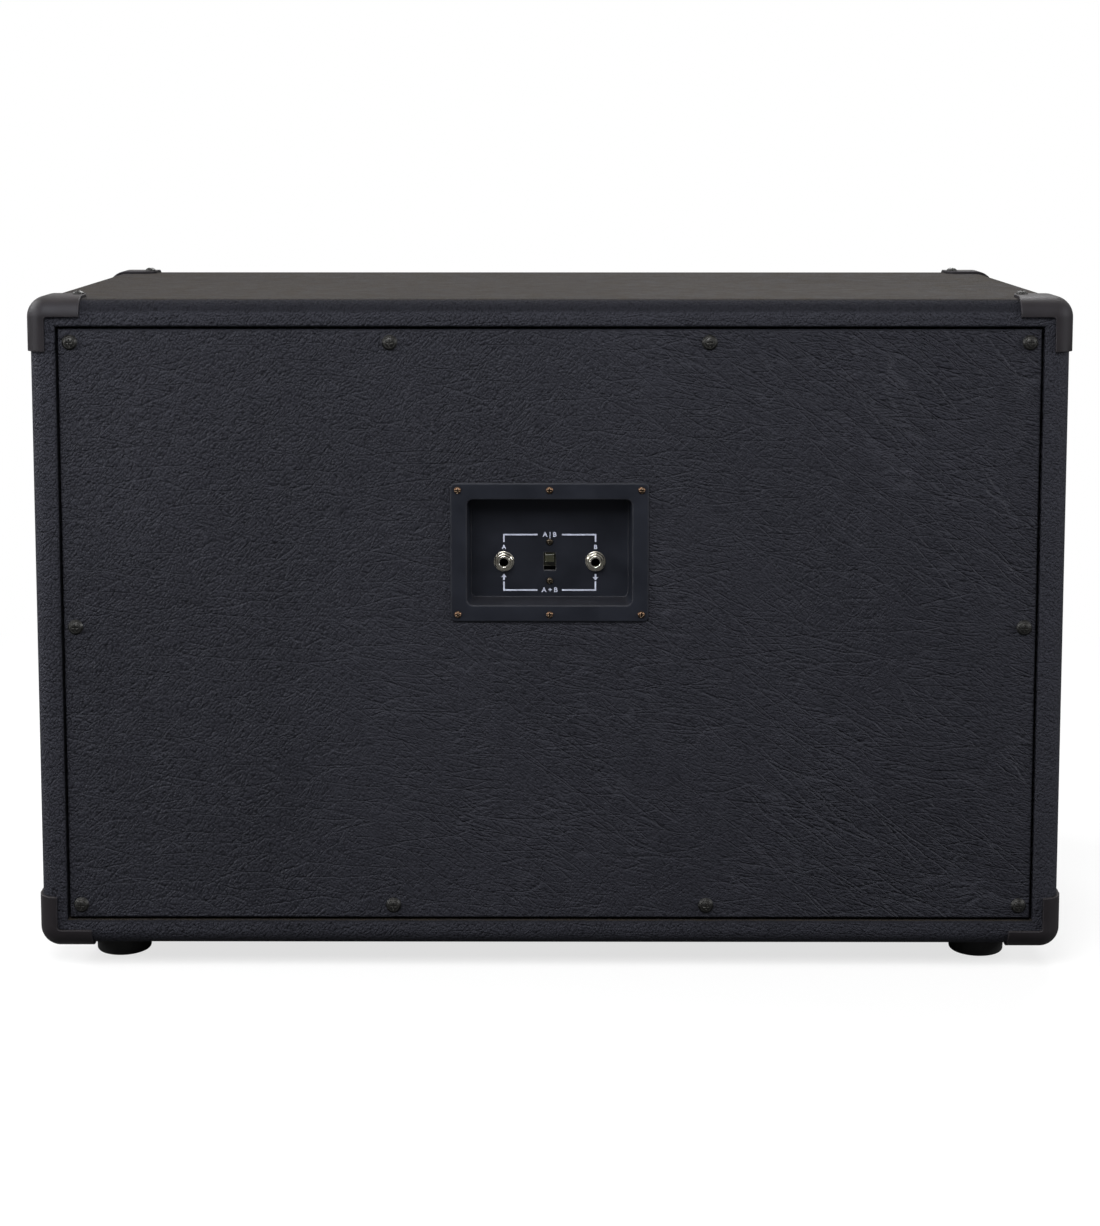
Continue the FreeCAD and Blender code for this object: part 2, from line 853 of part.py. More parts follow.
def switch_slider():
    # at rest the knob is at the top of its slot
    knob_z = jack_z + switch_travel / 2
    across = switch_knob_width / 2
    along = switch_knob_height / 2
    carriage_half = switch_frame_width / 2 - switch_wall - switch_clearance
    carriage_top = switch_frame_y - switch_clearance
    low = jack_z + switch_travel / 2 - switch_carriage_length / 2
    knob = block(
        (-across, carriage_top, knob_z - along),
        (across, dish_floor_y + switch_knob_projection, knob_z + along),
    )
    rim = [edge for edge in knob.Edges if edge.BoundBox.YMin > dish_floor_y]
    knob = knob.makeFillet(switch_knob_edge_radius, rim)
    carriage = block(
        (-carriage_half, carriage_top - switch_carriage_depth, low),
        (carriage_half, carriage_top, low + switch_carriage_length),
    )
    return knob.fuse(carriage).removeSplitter()


def switch_lugs():
    lugs = []
    across = switch_lug_width / 2
    half_gauge = switch_lug_gauge / 2
    for column in (-1, 1):
        x = column * switch_lug_column_spacing / 2
        for row in (-1, 0, 1):
            z = jack_z + row * switch_lug_row_spacing
            low = (x - across, switch_back_y - switch_lug_length, z - half_gauge)
            lugs.append(block(low, (x + across, switch_back_y, z + half_gauge)))
    return lugs


# Grille

def grille_box(inset, y_low, y_high):
    across = opening_half_width - grille_gap - inset
    along = opening_half_height - grille_gap - inset
    return block((-across, y_low, middle_z - along), (across, y_high, middle_z + along))


def grille_bars():
    across = opening_half_width - grille_gap - grille_cloth_thickness
    along = opening_half_height - grille_gap - grille_cloth_thickness
    front = grille_frame_front_y
    rear = grille_frame_rear_y
    bar = grille_frame_width
    low = middle_z - along
    high = middle_z + along
    bars = [
        block((-across, front, low), (across, rear, low + bar)),
        block((-across, front, high - bar), (across, rear, high)),
    ]
    for x_low in (-across, -bar / 2, across - bar):
        bars.append(block((x_low, front, low + bar), (x_low + bar, rear, high - bar)))
    return bars


def grille_pads():
    along = opening_half_height - grille_gap - grille_cloth_thickness - grille_frame_width / 2
    across = opening_half_width - grille_frame_width - grille_pad_width / 2
    half_width_of_pad = grille_pad_width / 2
    half_height_of_pad = grille_pad_height / 2
    pads = []
    for x in (-across, 0, across):
        for z in (middle_z - along, middle_z + along):
            low = (x - half_width_of_pad, grille_frame_rear_y, z - half_height_of_pad)
            high = (x + half_width_of_pad, baffle_front_y, z + half_height_of_pad)
            pads.append(block(low, high))
    return pads


# Side handles

def handle_screw_spots():
    across = handle_width / 2 - handle_screw_inset
    along = handle_height / 2 - handle_screw_inset
    columns = (-across, across)
    rows = (handle_z - along, handle_z + along)
    face = half_width + handle_flange_thickness
    return [(Vector(face, y, z), outward_x) for y in columns for z in rows]


def handle_outline(width, height, radius, x):
    return rounded_outline(width, height, radius, on_x(x, 0, handle_z))


def handle_pocket(spare, x_mouth, x_floor):
    mouth = handle_outline(
        handle_mouth_width + 2 * spare, handle_mouth_height + 2 * spare, handle_mouth_radius + spare, x_mouth
    )
    floor = handle_outline(
        handle_floor_width + 2 * spare, handle_floor_height + 2 * spare, handle_floor_radius + spare, x_floor
    )
    return Part.makeLoft([mouth, floor], True, True)


def side_handle():
    # built in the right side
    outline = handle_outline(handle_width, handle_height, handle_corner_radius, half_width)
    flange = Part.Face(outline).extrude(outward_x * handle_flange_thickness)
    face = half_width + handle_flange_thickness
    rim = [edge for edge in flange.Edges if edge.BoundBox.XMin > half_width + handle_flange_thickness / 2]
    flange = flange.makeFillet(handle_flange_edge_radius, rim)
    floor = half_width - handle_depth
    cup = handle_pocket(handle_wall, half_width, floor - handle_wall)
    hollow = handle_pocket(0, face, floor)
    bar_x = half_width - handle_bar_inset - handle_bar_depth / 2
    start = -handle_mouth_width / 2 - handle_wall
    bar = Part.Face(
        rounded_outline(
            handle_bar_depth,
            handle_bar_height,
            handle_bar_radius,
            on_y(start, bar_x, handle_z + handle_bar_rise),
        )
    ).extrude(outward_y * -2 * start)
    drills = holes(handle_screw_spots(), handle_screw_radius + hole_clearance, cut_overrun)
    shell = flange.fuse(cup).cut(hollow)
    return shell.fuse(bar.common(cup)).removeSplitter().cut(drills)


def handle_cutout():
    # through the right side board and its covering
    spare = 2 * (handle_wall + handle_cutout_clearance)
    outline = handle_outline(
        handle_mouth_width + spare,
        handle_mouth_height + spare,
        handle_mouth_radius + spare / 2,
        inner_half_width - cut_overrun,
    )
    return Part.Face(outline).extrude(outward_x * (board_thickness + covering_thickness + 2 * cut_overrun))


# Loudspeakers

def speaker_origin(side):
    return Vector(side * speaker_offset, baffle_rear_y, middle_z)


def speaker_bolt_spots(side, depth):
    origin = speaker_origin(side)
    spots = []
    for index in range(speaker_bolt_count):
        angle = 2 * math.pi * (index + 0.5) / speaker_bolt_count
        arm = Vector(math.cos(angle), 0, math.sin(angle)) * speaker_bolt_circle_radius
        spots.append((origin + arm + outward_y * depth, outward_y))
    return spots


def speaker_drills(side):
    spots = speaker_bolt_spots(side, flange_rear)
    return holes(spots, speaker_bolt_radius + hole_clearance, flange_rear + baffle_thickness)


def basket(side):
    origin = speaker_origin(side)
    gauge = basket_gauge
    ledge_inner = basket_ledge_radius - basket_ledge_width
    outside = [
        (speaker_radius, flange_front),
        (speaker_radius, flange_rear),
        (basket_throat_radius + gauge, flange_rear),
        (basket_ledge_radius + gauge, basket_ledge_depth),
        (basket_ledge_radius + gauge, terminal_front),
        (ledge_inner + gauge, terminal_front),
        (basket_seat_radius + gauge, seat_rear),
        (basket_seat_hole_radius, seat_rear),
    ]
    inside = [
        (basket_seat_hole_radius, basket_seat_depth),
        (basket_seat_radius, basket_seat_depth),
        (ledge_inner, basket_ledge_depth),
        (basket_ledge_radius, basket_ledge_depth),
        (basket_throat_radius, flange_front),
    ]
    body = turned(outside + inside, origin)
    first = flange_rear + basket_window_margin
    last = basket_ledge_depth - basket_window_margin
    wedge = turned(
        [
            (basket_ledge_radius, first),
            (speaker_radius, first),
            (speaker_radius, last),
            (basket_ledge_radius, last),
        ],
        origin,
        outward_y,
        basket_window_angle,
    )
    pitch = 360.0 / basket_window_count
    windows = []
    for index in range(basket_window_count):
        window = wedge.copy()
        window.rotate(origin, outward_y, pitch * index + (pitch - basket_window_angle) / 2)
        windows.append(window)
    return body.cut(windows + speaker_drills(side))


def surround(side):
    origin = speaker_origin(side)
    inner = cone_radius + cone_gap
    wave = pleats(inner, basket_throat_radius, gasket_thickness, surround_wave_height, surround_wave_count)
    line = [(speaker_radius, gasket_thickness)] + wave
    sheet = turned(thick_line(line, surround_gauge), origin)
    return sheet.cut(speaker_drills(side))


def spider(side):
    inner = coil_former_outer + cone_gap
    level = basket_ledge_depth - spider_gauge
    rim = basket_ledge_radius - basket_ledge_width - spider_clearance
    wave = pleats(inner, rim, level, spider_wave_height, spider_wave_count)
    line = [(spider_radius, level)] + wave
    return turned(thick_line(line, spider_gauge), speaker_origin(side))


def cone(side):
    line = [(cone_radius, gasket_thickness), (cone_neck_radius, cone_neck_depth)]
    return turned(thick_line(line, cone_gauge), speaker_origin(side))


def dome_arc(origin, radius, rim, crown):
    # an arc of a sphere from its rim to the axis
    height = rim - crown
    ball = (radius * radius + height * height) / (2 * height)
    half_angle = math.asin(radius / ball) / 2
    middle = Vector(ball * math.sin(half_angle), crown + ball * (1 - math.cos(half_angle)), 0)
    return Part.Arc(origin + Vector(radius, rim, 0), origin + middle, origin + Vector(0, crown, 0)).toShape()


def dust_cap(side):
    # a shallow dome whose rim sits on the front of the cone
    origin = speaker_origin(side)
    slope = (cone_neck_depth - gasket_thickness) / (cone_radius - cone_neck_radius)
    rim = gasket_thickness + slope * (cone_radius - dust_cap_radius) - dust_cap_gap - dust_cap_gauge
    crown = rim - dust_cap_height
    outer = dome_arc(origin, dust_cap_radius, rim, crown)
    inner = dome_arc(origin, dust_cap_radius - dust_cap_gauge, rim, crown + dust_cap_gauge)
    ends = [
        Part.LineSegment(outer.Vertexes[index].Point, inner.Vertexes[index].Point).toShape()
        for index in (0, 1)
    ]
    outline = Part.Wire(Part.__sortEdges__([outer, inner] + ends))
    return Part.Face(outline).revolve(origin, outward_y, 360)


def voice_coil(side):
    start = cone_neck_depth - coil_overlap
    winding = coil_end - coil_winding_length
    thick = coil_former_outer + coil_winding_gauge
    outline = [
        (coil_former_radius, start),
        (coil_former_outer, start),
        (coil_former_outer, winding),
        (thick, winding),
        (thick, coil_end),
        (coil_former_radius, coil_end),
    ]
    return turned(outline, speaker_origin(side))


def top_plate(side):
    return ring(top_plate_hole_radius, top_plate_radius, seat_rear, magnet_front, speaker_origin(side))


def magnet(side):
    return ring(magnet_hole_radius, magnet_radius, magnet_front, yoke_front, speaker_origin(side))


def yoke(side):
    outline = [
        (0, seat_rear),
        (pole_radius, seat_rear),
        (pole_radius, yoke_front),
        (yoke_radius, yoke_front),
        (yoke_radius, yoke_front + yoke_thickness),
        (0, yoke_front + yoke_thickness),
    ]
    return turned(outline, speaker_origin(side))


def gasket(side):
    body = ring(gasket_inner_radius, speaker_radius, 0, gasket_thickness, speaker_origin(side))
    return body.cut(speaker_drills(side))


def terminal_spots(side):
    origin = speaker_origin(side)
    return [origin.x - terminal_lug_spacing / 2, origin.x + terminal_lug_spacing / 2]


def terminal_strip(side):
    # a board on the rear of the basket's ledge, with two lugs that point up
    origin = speaker_origin(side)
    across = terminal_board_width / 2
    low = origin.z + terminal_radius - terminal_board_height / 2
    y_low = origin.y + terminal_front
    y_high = origin.y + terminal_lug_front
    board = block((origin.x - across, y_low, low), (origin.x + across, y_high, low + terminal_board_height))
    half_lug = terminal_lug_width / 2
    y_lug = y_high + terminal_lug_gauge
    z_lug = low + terminal_lug_length
    lugs = [
        block((x - half_lug, y_high, low), (x + half_lug, y_lug, z_lug)) for x in terminal_spots(side)
    ]
    return [board] + lugs


def speaker_bolts(side):
    length = flange_rear + baffle_thickness
    bolt = screw(speaker_bolt_head_radius, speaker_bolt_head_height, speaker_bolt_radius, length)
    return [placed(bolt, spot, out) for spot, out in speaker_bolt_spots(side, flange_rear)]


def tee_nuts(side):
    bore = speaker_bolt_radius + hole_clearance
    outline = [
        (bore, -tee_nut_flange_thickness),
        (tee_nut_flange_radius, -tee_nut_flange_thickness),
        (tee_nut_flange_radius, 0),
        (tee_nut_barrel_radius, 0),
        (tee_nut_barrel_radius, tee_nut_barrel_length),
        (bore, tee_nut_barrel_length),
    ]
    return [turned(outline, spot) for spot, out in speaker_bolt_spots(side, -baffle_thickness)]


def baffle():
    board = block(
        (-inner_half_width, baffle_front_y, inner_base_z), (inner_half_width, baffle_rear_y, inner_top_z)
    )
    cutters = []
    for name, side in sides:
        origin = speaker_origin(side) - outward_y * (baffle_thickness + cut_overrun)
        cutters.append(
            Part.makeCylinder(basket_throat_radius, baffle_thickness + 2 * cut_overrun, origin, outward_y)
        )
        cutters += speaker_drills(side)
        for spot, out in speaker_bolt_spots(side, -baffle_thickness):
            cutters.append(
                Part.makeCylinder(tee_nut_barrel_radius + hole_clearance, tee_nut_barrel_length, spot, out)
            )
    return board.cut(cutters)


# Wires

def wire(points):
    # straight runs joined by arcs as large as the runs allow
    edges = []
    at = points[0]
    for before, corner, after in zip(points, points[1:], points[2:]):
        into = corner - before
        out = after - corner
        turn = into.getAngle(out)
        cut = wire_arc_share * min(into.Length, out.Length)
        radius = cut / math.tan(turn / 2)
        start = corner - into.normalize() * cut
        end = corner + out.normalize() * cut
        inward = (end - corner) + (start - corner)
        middle = corner + inward.normalize() * (math.hypot(radius, cut) - radius)
        edges.append(Part.LineSegment(at, start).toShape())
        edges.append(Part.Arc(start, middle, end).toShape())
        at = end
    edges.append(Part.LineSegment(at, points[-1]).toShape())
    path = Part.Wire(edges)
    section = Part.Wire(Part.makeCircle(wire_radius, points[0], points[1] - points[0]))
    return path.makePipeShell([section], True, True)


def speaker_wire(side, index, row):
    # from a switch lug, across behind the magnet and up over it to a terminal lug
    x_lug = side * switch_lug_column_spacing / 2
    y_lug = switch_back_y - switch_lug_length
    z_lug = jack_z + row * switch_lug_row_spacing
    x_end = terminal_spots(side)[index]
    y_end = baffle_rear_y + terminal_lug_front + terminal_lug_gauge / 2
    z_end = middle_z + terminal_lug_end
    lane = row * wire_lane_pitch
    return wire([
        Vector(x_lug, y_lug, z_lug),
        Vector(x_lug, y_lug - wire_first_run, z_lug),
        Vector(side * wire_cross_x, wire_cross_y + lane, jack_z + lane),
        Vector(x_end, wire_over_y, z_end + wire_over_rise),
        Vector(x_end, y_end, z_end + wire_over_rise),
        Vector(x_end, y_end, z_end),
    ])


def link_wire(side):
    # from the switch's middle lug over to the jack's insulator
    x_lug = side * switch_lug_column_spacing / 2
    x_jack = jack_axis(side).x
    y_lug = switch_back_y - switch_lug_length
    y_jack = insulator_rear_y + insulator_length / 2
    return wire([
        Vector(x_lug, y_lug, jack_z),
        Vector(x_lug, y_lug - link_first_run, jack_z),
        Vector(x_lug + side * link_step_x, y_lug - link_first_run - link_step_y, jack_z + link_step_z),
        Vector(x_jack, y_jack, insulator_top_z + link_rise),
        Vector(x_jack, y_jack, insulator_top_z),
    ])


def ground_wire():
    # between the lower ends of the two jack frames, under the switch
    x = jack_spacing / 2
    y = jack_frame_y + jack_frame_gauge / 2
    top = jack_z - jack_frame_drop
    bend = top - ground_drop
    low = bend - ground_step_z
    return wire([
        Vector(x, y, top),
        Vector(x, y, bend),
        Vector(x / 2, y - ground_step_y, low),
        Vector(-x / 2, y - ground_step_y, low),
        Vector(-x, y, bend),
        Vector(-x, y, top),
    ])


# Everything together

corner_screw_places = [flipped(spot, flips) for name, flips in corners for spot in corner_screw_spots()]
rear_screw_places = rear_screw_spots()
plate_screw_places = plate_screw_spots()
right_handle_screws = handle_screw_spots()
handle_screw_places = [flipped(spot, (sx, 1, 1)) for name, sx in sides for spot in right_handle_screws]

right_cutout = handle_cutout()
handle_cutouts = {"right": right_cutout, "left": mirrored(right_cutout, outward_x)}
corner_drills = pilots(corner_screw_places, corner_screw_radius, corner_screw_length)
foot_drills = pilots(foot_screw_places, foot_screw_radius, foot_screw_length)
handle_drills = pilots(handle_screw_places, handle_screw_radius, handle_screw_length)
rear_drills = pilots(rear_screw_places, rear_screw_radius, rear_screw_length)
plate_drills = pilots(plate_screw_places, plate_screw_radius, plate_screw_length)
shell_drills = corner_drills + foot_drills + handle_drills

wood = open_box(covering_thickness)
rear_corner = corner_protector(corner_screw_spots())
rear_bars = cleats(rear_cleat_size, panel_inner_y - rear_cleat_size, panel_inner_y)
panel_cutters = [panel_cutout()] + rear_drills + plate_drills

nodes = {
    "top_panel": level_board(wood, inner_top_z, top_z, corner_drills),
    "bottom_panel": level_board(wood, base_z, inner_base_z, corner_drills + foot_drills),
    "shell_covering": covering(wood, shell_drills + list(handle_cutouts.values())),
    "baffle_board": baffle(),
    "baffle_cleats": group(cleats(baffle_cleat_size, baffle_rear_y, baffle_rear_y + baffle_cleat_size)),
    "rear_cleats": group(bar.cut(rear_drills) for bar in rear_bars),
    "rear_panel": rear_panel_wood(panel_cutters),
    "rear_panel_covering": panel_covering(panel_cutters),
}
for name, side in sides:
    cutters = corner_drills + handle_drills + [handle_cutouts[name]]
    nodes[f"{name}_side_panel"] = upright_board(wood, side, cutters)

rear_screw = screw(
    rear_screw_head_radius, rear_screw_dome_height, rear_screw_radius, rear_screw_length, rear_screw_sink
)
washer = cup_washer()
raised = outward_y * cup_washer_height
nodes["rear_panel_screws"] = group(placed(rear_screw, spot + raised, out) for spot, out in rear_screw_places)
nodes["rear_panel_washers"] = group(placed(washer, spot, out) for spot, out in rear_screw_places)

for name, (sx, sy, sz) in corners:
    protector = rear_corner
    for sign, normal in ((sx, outward_x), (sy, outward_y), (sz, upward)):
        protector = mirrored(protector, normal) if sign < 0 else protector
    nodes[name] = protector
corner_screw = screw(
    corner_screw_head_radius, corner_screw_head_height, corner_screw_radius, corner_screw_length
)
nodes["corner_screws"] = group(placed(corner_screw, spot, out) for spot, out in corner_screw_places)

nodes["rubber_feet"] = group(foot(centre) for centre in foot_centres)
foot_screw = screw(foot_screw_head_radius, foot_screw_head_height, foot_screw_radius, foot_screw_length)
nodes["foot_screws"] = group(placed(foot_screw, spot, out) for spot, out in foot_screw_places)

right_handle = side_handle()
nodes["right_handle"] = right_handle
nodes["left_handle"] = mirrored(right_handle, outward_x)
handle_screw = screw(
    handle_screw_head_radius, handle_screw_head_height, handle_screw_radius, handle_screw_length
)
nodes["handle_screws"] = group(placed(handle_screw, spot, out) for spot, out in handle_screw_places)

jack_holes = holes(
    [(jack_axis(side), outward_y) for name, side in sides], jack_thread_radius + hole_clearance, dish_depth
)
switch_drills = holes(
    switch_screw_spots(dish_floor_y), switch_screw_radius + hole_clearance, plate_thickness + cut_overrun
)
slot = switch_slot(dish_inner_y - cut_overrun, dish_floor_y + cut_overrun)
nodes["jack_plate"] = jack_plate(plate_drills + jack_holes + switch_drills + [slot])
plate_screw = screw(plate_screw_head_radius, plate_screw_head_height, plate_screw_radius, plate_screw_length)
nodes["jack_plate_screws"] = group(placed(plate_screw, spot, out) for spot, out in plate_screw_places)
nodes["jack_nuts"] = group(make(side) for name, side in sides for make in (jack_washer, jack_nut))
nodes["jack_insulators"] = group(jack_insulator(side) for name, side in sides)
for name, side in sides:
    nodes[f"{name}_jack_body"] = jack_body(side)
    nodes[f"{name}_jack_contact"] = jack_contact(side)

nodes["switch_body"] = switch_body()
nodes["switch_slider"] = switch_slider()
nodes["switch_lugs"] = group(switch_lugs())
switch_screw = screw(
    switch_screw_head_radius, switch_screw_head_height, switch_screw_radius, switch_screw_length
)
switch_screw_places = switch_screw_spots(dish_floor_y)
nodes["switch_screws"] = group(placed(switch_screw, spot, out) for spot, out in switch_screw_places)

nodes["grille_frame"] = group(grille_bars())
cloth = grille_box(0, grille_face_y, grille_frame_rear_y)
nodes["grille_cloth"] = cloth.cut(
    grille_box(grille_cloth_thickness, grille_frame_front_y, grille_frame_rear_y + cut_overrun)
)
nodes["grille_fasteners"] = group(grille_pads())

shared = {
    "speaker_baskets": basket,
    "speaker_gaskets": gasket,
    "speaker_top_plates": top_plate,
    "speaker_magnets": magnet,
    "speaker_yokes": yoke,
}
for name, build in shared.items():
    nodes[name] = group(build(side) for side_name, side in sides)
listed = {"speaker_terminals": terminal_strip, "speaker_bolts": speaker_bolts, "speaker_tee_nuts": tee_nuts}
for name, build in listed.items():
    nodes[name] = group(piece for side_name, side in sides for piece in build(side))
separate = {
    "cone": cone,
    "dust_cap": dust_cap,
    "voice_coil": voice_coil,
    "surround": surround,
    "spider": spider,
}
for side_name, side in sides:
    for name, build in separate.items():
        nodes[f"{side_name}_{name}"] = build(side)

speaker_leads = [
    speaker_wire(side, index, row) for name, side in sides for index, row in ((0, -side), (1, side))
]
links = [link_wire(side) for name, side in sides]
nodes["speaker_wires"] = group(speaker_leads + links + [ground_wire()])

os.makedirs("parts", exist_ok=True)
for name, shape in nodes.items():
    shape.exportStep(f"parts/{name}.step")
    solids = shape.Solids
    state = "ok" if shape.isValid() and solids else "NOT VALID"
    print(f"{name}: {len(solids)} solids, {shape.Volume:.0f} mm3, {state}")
print(f"{len(nodes)} nodes")
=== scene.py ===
import math

import bmesh
import bpy
from mathutils import Matrix, Vector


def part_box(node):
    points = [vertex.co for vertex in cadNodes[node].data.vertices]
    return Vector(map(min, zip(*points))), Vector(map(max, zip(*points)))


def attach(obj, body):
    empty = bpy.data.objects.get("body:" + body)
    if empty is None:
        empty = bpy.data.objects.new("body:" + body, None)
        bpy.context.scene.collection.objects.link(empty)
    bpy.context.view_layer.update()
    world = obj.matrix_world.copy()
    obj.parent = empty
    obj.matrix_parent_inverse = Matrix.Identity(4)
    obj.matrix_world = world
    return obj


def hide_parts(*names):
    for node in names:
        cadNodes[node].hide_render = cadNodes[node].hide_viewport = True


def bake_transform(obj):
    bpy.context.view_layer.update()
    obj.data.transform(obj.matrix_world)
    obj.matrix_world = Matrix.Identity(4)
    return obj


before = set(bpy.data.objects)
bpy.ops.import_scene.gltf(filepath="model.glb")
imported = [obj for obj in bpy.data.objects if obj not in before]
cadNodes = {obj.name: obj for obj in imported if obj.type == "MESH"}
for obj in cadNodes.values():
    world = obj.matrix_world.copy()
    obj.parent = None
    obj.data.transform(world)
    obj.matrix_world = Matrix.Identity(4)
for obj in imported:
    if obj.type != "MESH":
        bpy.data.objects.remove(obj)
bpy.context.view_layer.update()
scene = bpy.context.scene
hands = ("left", "right")
print("frame loaded,", len(cadNodes), "nodes")


# small helpers for wiring nodes

def link(tree, source, target):
    if isinstance(source, (int, float, tuple)):
        target.default_value = source
    else:
        tree.links.new(source, target)


def calc(tree, operation, first, second=None, third=None, clamp=False):
    node = tree.nodes.new("ShaderNodeMath")
    node.operation = operation
    node.use_clamp = clamp
    for place, source in enumerate((first, second, third)):
        if source is not None:
            link(tree, source, node.inputs[place])
    return node.outputs[0]


def vectorCalc(tree, operation, first, second=None, scale=None):
    node = tree.nodes.new("ShaderNodeVectorMath")
    node.operation = operation
    link(tree, first, node.inputs[0])
    if second is not None:
        link(tree, second, node.inputs[1])
    if scale is not None:
        link(tree, scale, node.inputs["Scale"])
    return node.outputs["Value" if operation in ("DOT_PRODUCT", "LENGTH") else "Vector"]


def remap(tree, value, low, high, outLow=0.0, outHigh=1.0, smooth=True):
    node = tree.nodes.new("ShaderNodeMapRange")
    node.interpolation_type = "SMOOTHSTEP" if smooth else "LINEAR"
    for label, source in zip(("Value", "From Min", "From Max", "To Min", "To Max"),
                             (value, low, high, outLow, outHigh)):
        link(tree, source, node.inputs[label])
    return node.outputs["Result"]


def mixColors(tree, factor, first, second, blend="MIX"):
    node = tree.nodes.new("ShaderNodeMix")
    node.data_type = "RGBA"
    node.blend_type = blend
    # this node's colour sockets are inputs 6 and 7 and output 2
    link(tree, factor, node.inputs[0])
    link(tree, first, node.inputs[6])
    link(tree, second, node.inputs[7])
    return node.outputs[2]


def noise(tree, vector, scale, detail=2.0, rough=0.5, distort=0.0, color=False):
    node = tree.nodes.new("ShaderNodeTexNoise")
    link(tree, vector, node.inputs["Vector"])
    link(tree, scale, node.inputs["Scale"])
    link(tree, detail, node.inputs["Detail"])
    link(tree, rough, node.inputs["Roughness"])
    link(tree, distort, node.inputs["Distortion"])
    return node.outputs["Color" if color else "Fac"]


def cells(tree, vector, scale, feature="F1", blend=None):
    node = tree.nodes.new("ShaderNodeTexVoronoi")
    node.feature = feature
    link(tree, vector, node.inputs["Vector"])
    link(tree, scale, node.inputs["Scale"])
    if blend is not None:
        link(tree, blend, node.inputs["Smoothness"])
    return node.outputs["Distance"]


def objectPlace(tree):
    return tree.nodes.new("ShaderNodeTexCoord").outputs["Object"]


def split(tree, vector):
    node = tree.nodes.new("ShaderNodeSeparateXYZ")
    link(tree, vector, node.inputs[0])
    return node.outputs["X"], node.outputs["Y"], node.outputs["Z"]


def wander(tree, spot, scale, detail, reach):
    drift = vectorCalc(tree, "SUBTRACT", noise(tree, spot, scale, detail, color=True), (0.5, 0.5, 0.5))
    return vectorCalc(tree, "ADD", spot, vectorCalc(tree, "SCALE", drift, scale=reach))


def turned(tree, vector, degrees, stretch):
    node = tree.nodes.new("ShaderNodeVectorRotate")
    node.rotation_type = "Y_AXIS"
    node.inputs["Angle"].default_value = math.radians(degrees)
    link(tree, vector, node.inputs["Vector"])
    return vectorCalc(tree, "MULTIPLY", node.outputs["Vector"], stretch)


def upness(tree, facing, low, high):
    return remap(tree, vectorCalc(tree, "DOT_PRODUCT", facing, (0.0, 0.0, 1.0)), low, high)


def startGroup(name, inputs, outputs):
    group = bpy.data.node_groups.new(name, "ShaderNodeTree")
    for label, value in inputs.items():
        socket = group.interface.new_socket(name=label, in_out="INPUT", socket_type="NodeSocketFloat")
        socket.default_value = value
    for label, kind in outputs.items():
        group.interface.new_socket(name=label, in_out="OUTPUT", socket_type="NodeSocket" + kind)
    groupIn = group.nodes.new("NodeGroupInput").outputs
    groupOut = group.nodes.new("NodeGroupOutput").inputs
    return group, groupIn, groupOut


def place(tree, group, values):
    node = tree.nodes.new("ShaderNodeGroup")
    node.node_tree = group
    for label, value in values.items():
        node.inputs[label].default_value = value
    return node.outputs


# grain and creases of the covering

leatherGrain = {
    "slant": 0.5,
    "folds": 0.5,
    "bendScale": 45.0,
    "bendDetail": 2.0,
    "bendReach": 0.009,
    "driftScale": 3.4,
    "leanAlong": (-1.0, 0.0, 0.35),
    "leanSlope": 0.9,
    "leanEnds": (0.3, 0.85),
    "plainTurn": -70.0,
    "plainCells": (490.0, 620.0, 680.0),
    "plainShare": 0.92,
    "drawnTurn": 26.0,
    "drawnCells": (370.0, 600.0, 740.0),
    "drawnShare": 0.85,
    "roundness": 1.6,
    "raisedEnds": (0.15, 0.95),
    "swayScale": 16.0,
    "swayDetail": 3.0,
    "swayReach": 0.012,
    "shownScale": 8.0,
    "shownEnds": (0.36, 0.56),
    "creases": [
        {"turn": 37.0, "cells": (11.0, 100.0, 105.0), "width": 0.060, "depth": 0.75, "where": "lean"},
        {"turn": 11.0, "cells": (15.0, 100.0, 140.0), "width": 0.070, "depth": 0.55, "where": "lean"},
        {"turn": -50.0, "cells": (45.0, 150.0, 190.0), "width": 0.10, "depth": 0.45, "where": "stay"},
        {"turn": 2.0, "cells": (15.0, 100.0, 90.0), "width": 0.050, "depth": 0.40, "where": "all"},
    ],
    "fineScale": 1400.0,
    "fineDepth": 0.06,
    "cloudScale": 7.0,
    "patchScale": 110.0,
    "cloudShare": 0.5,
    "patchShare": 0.5,
}


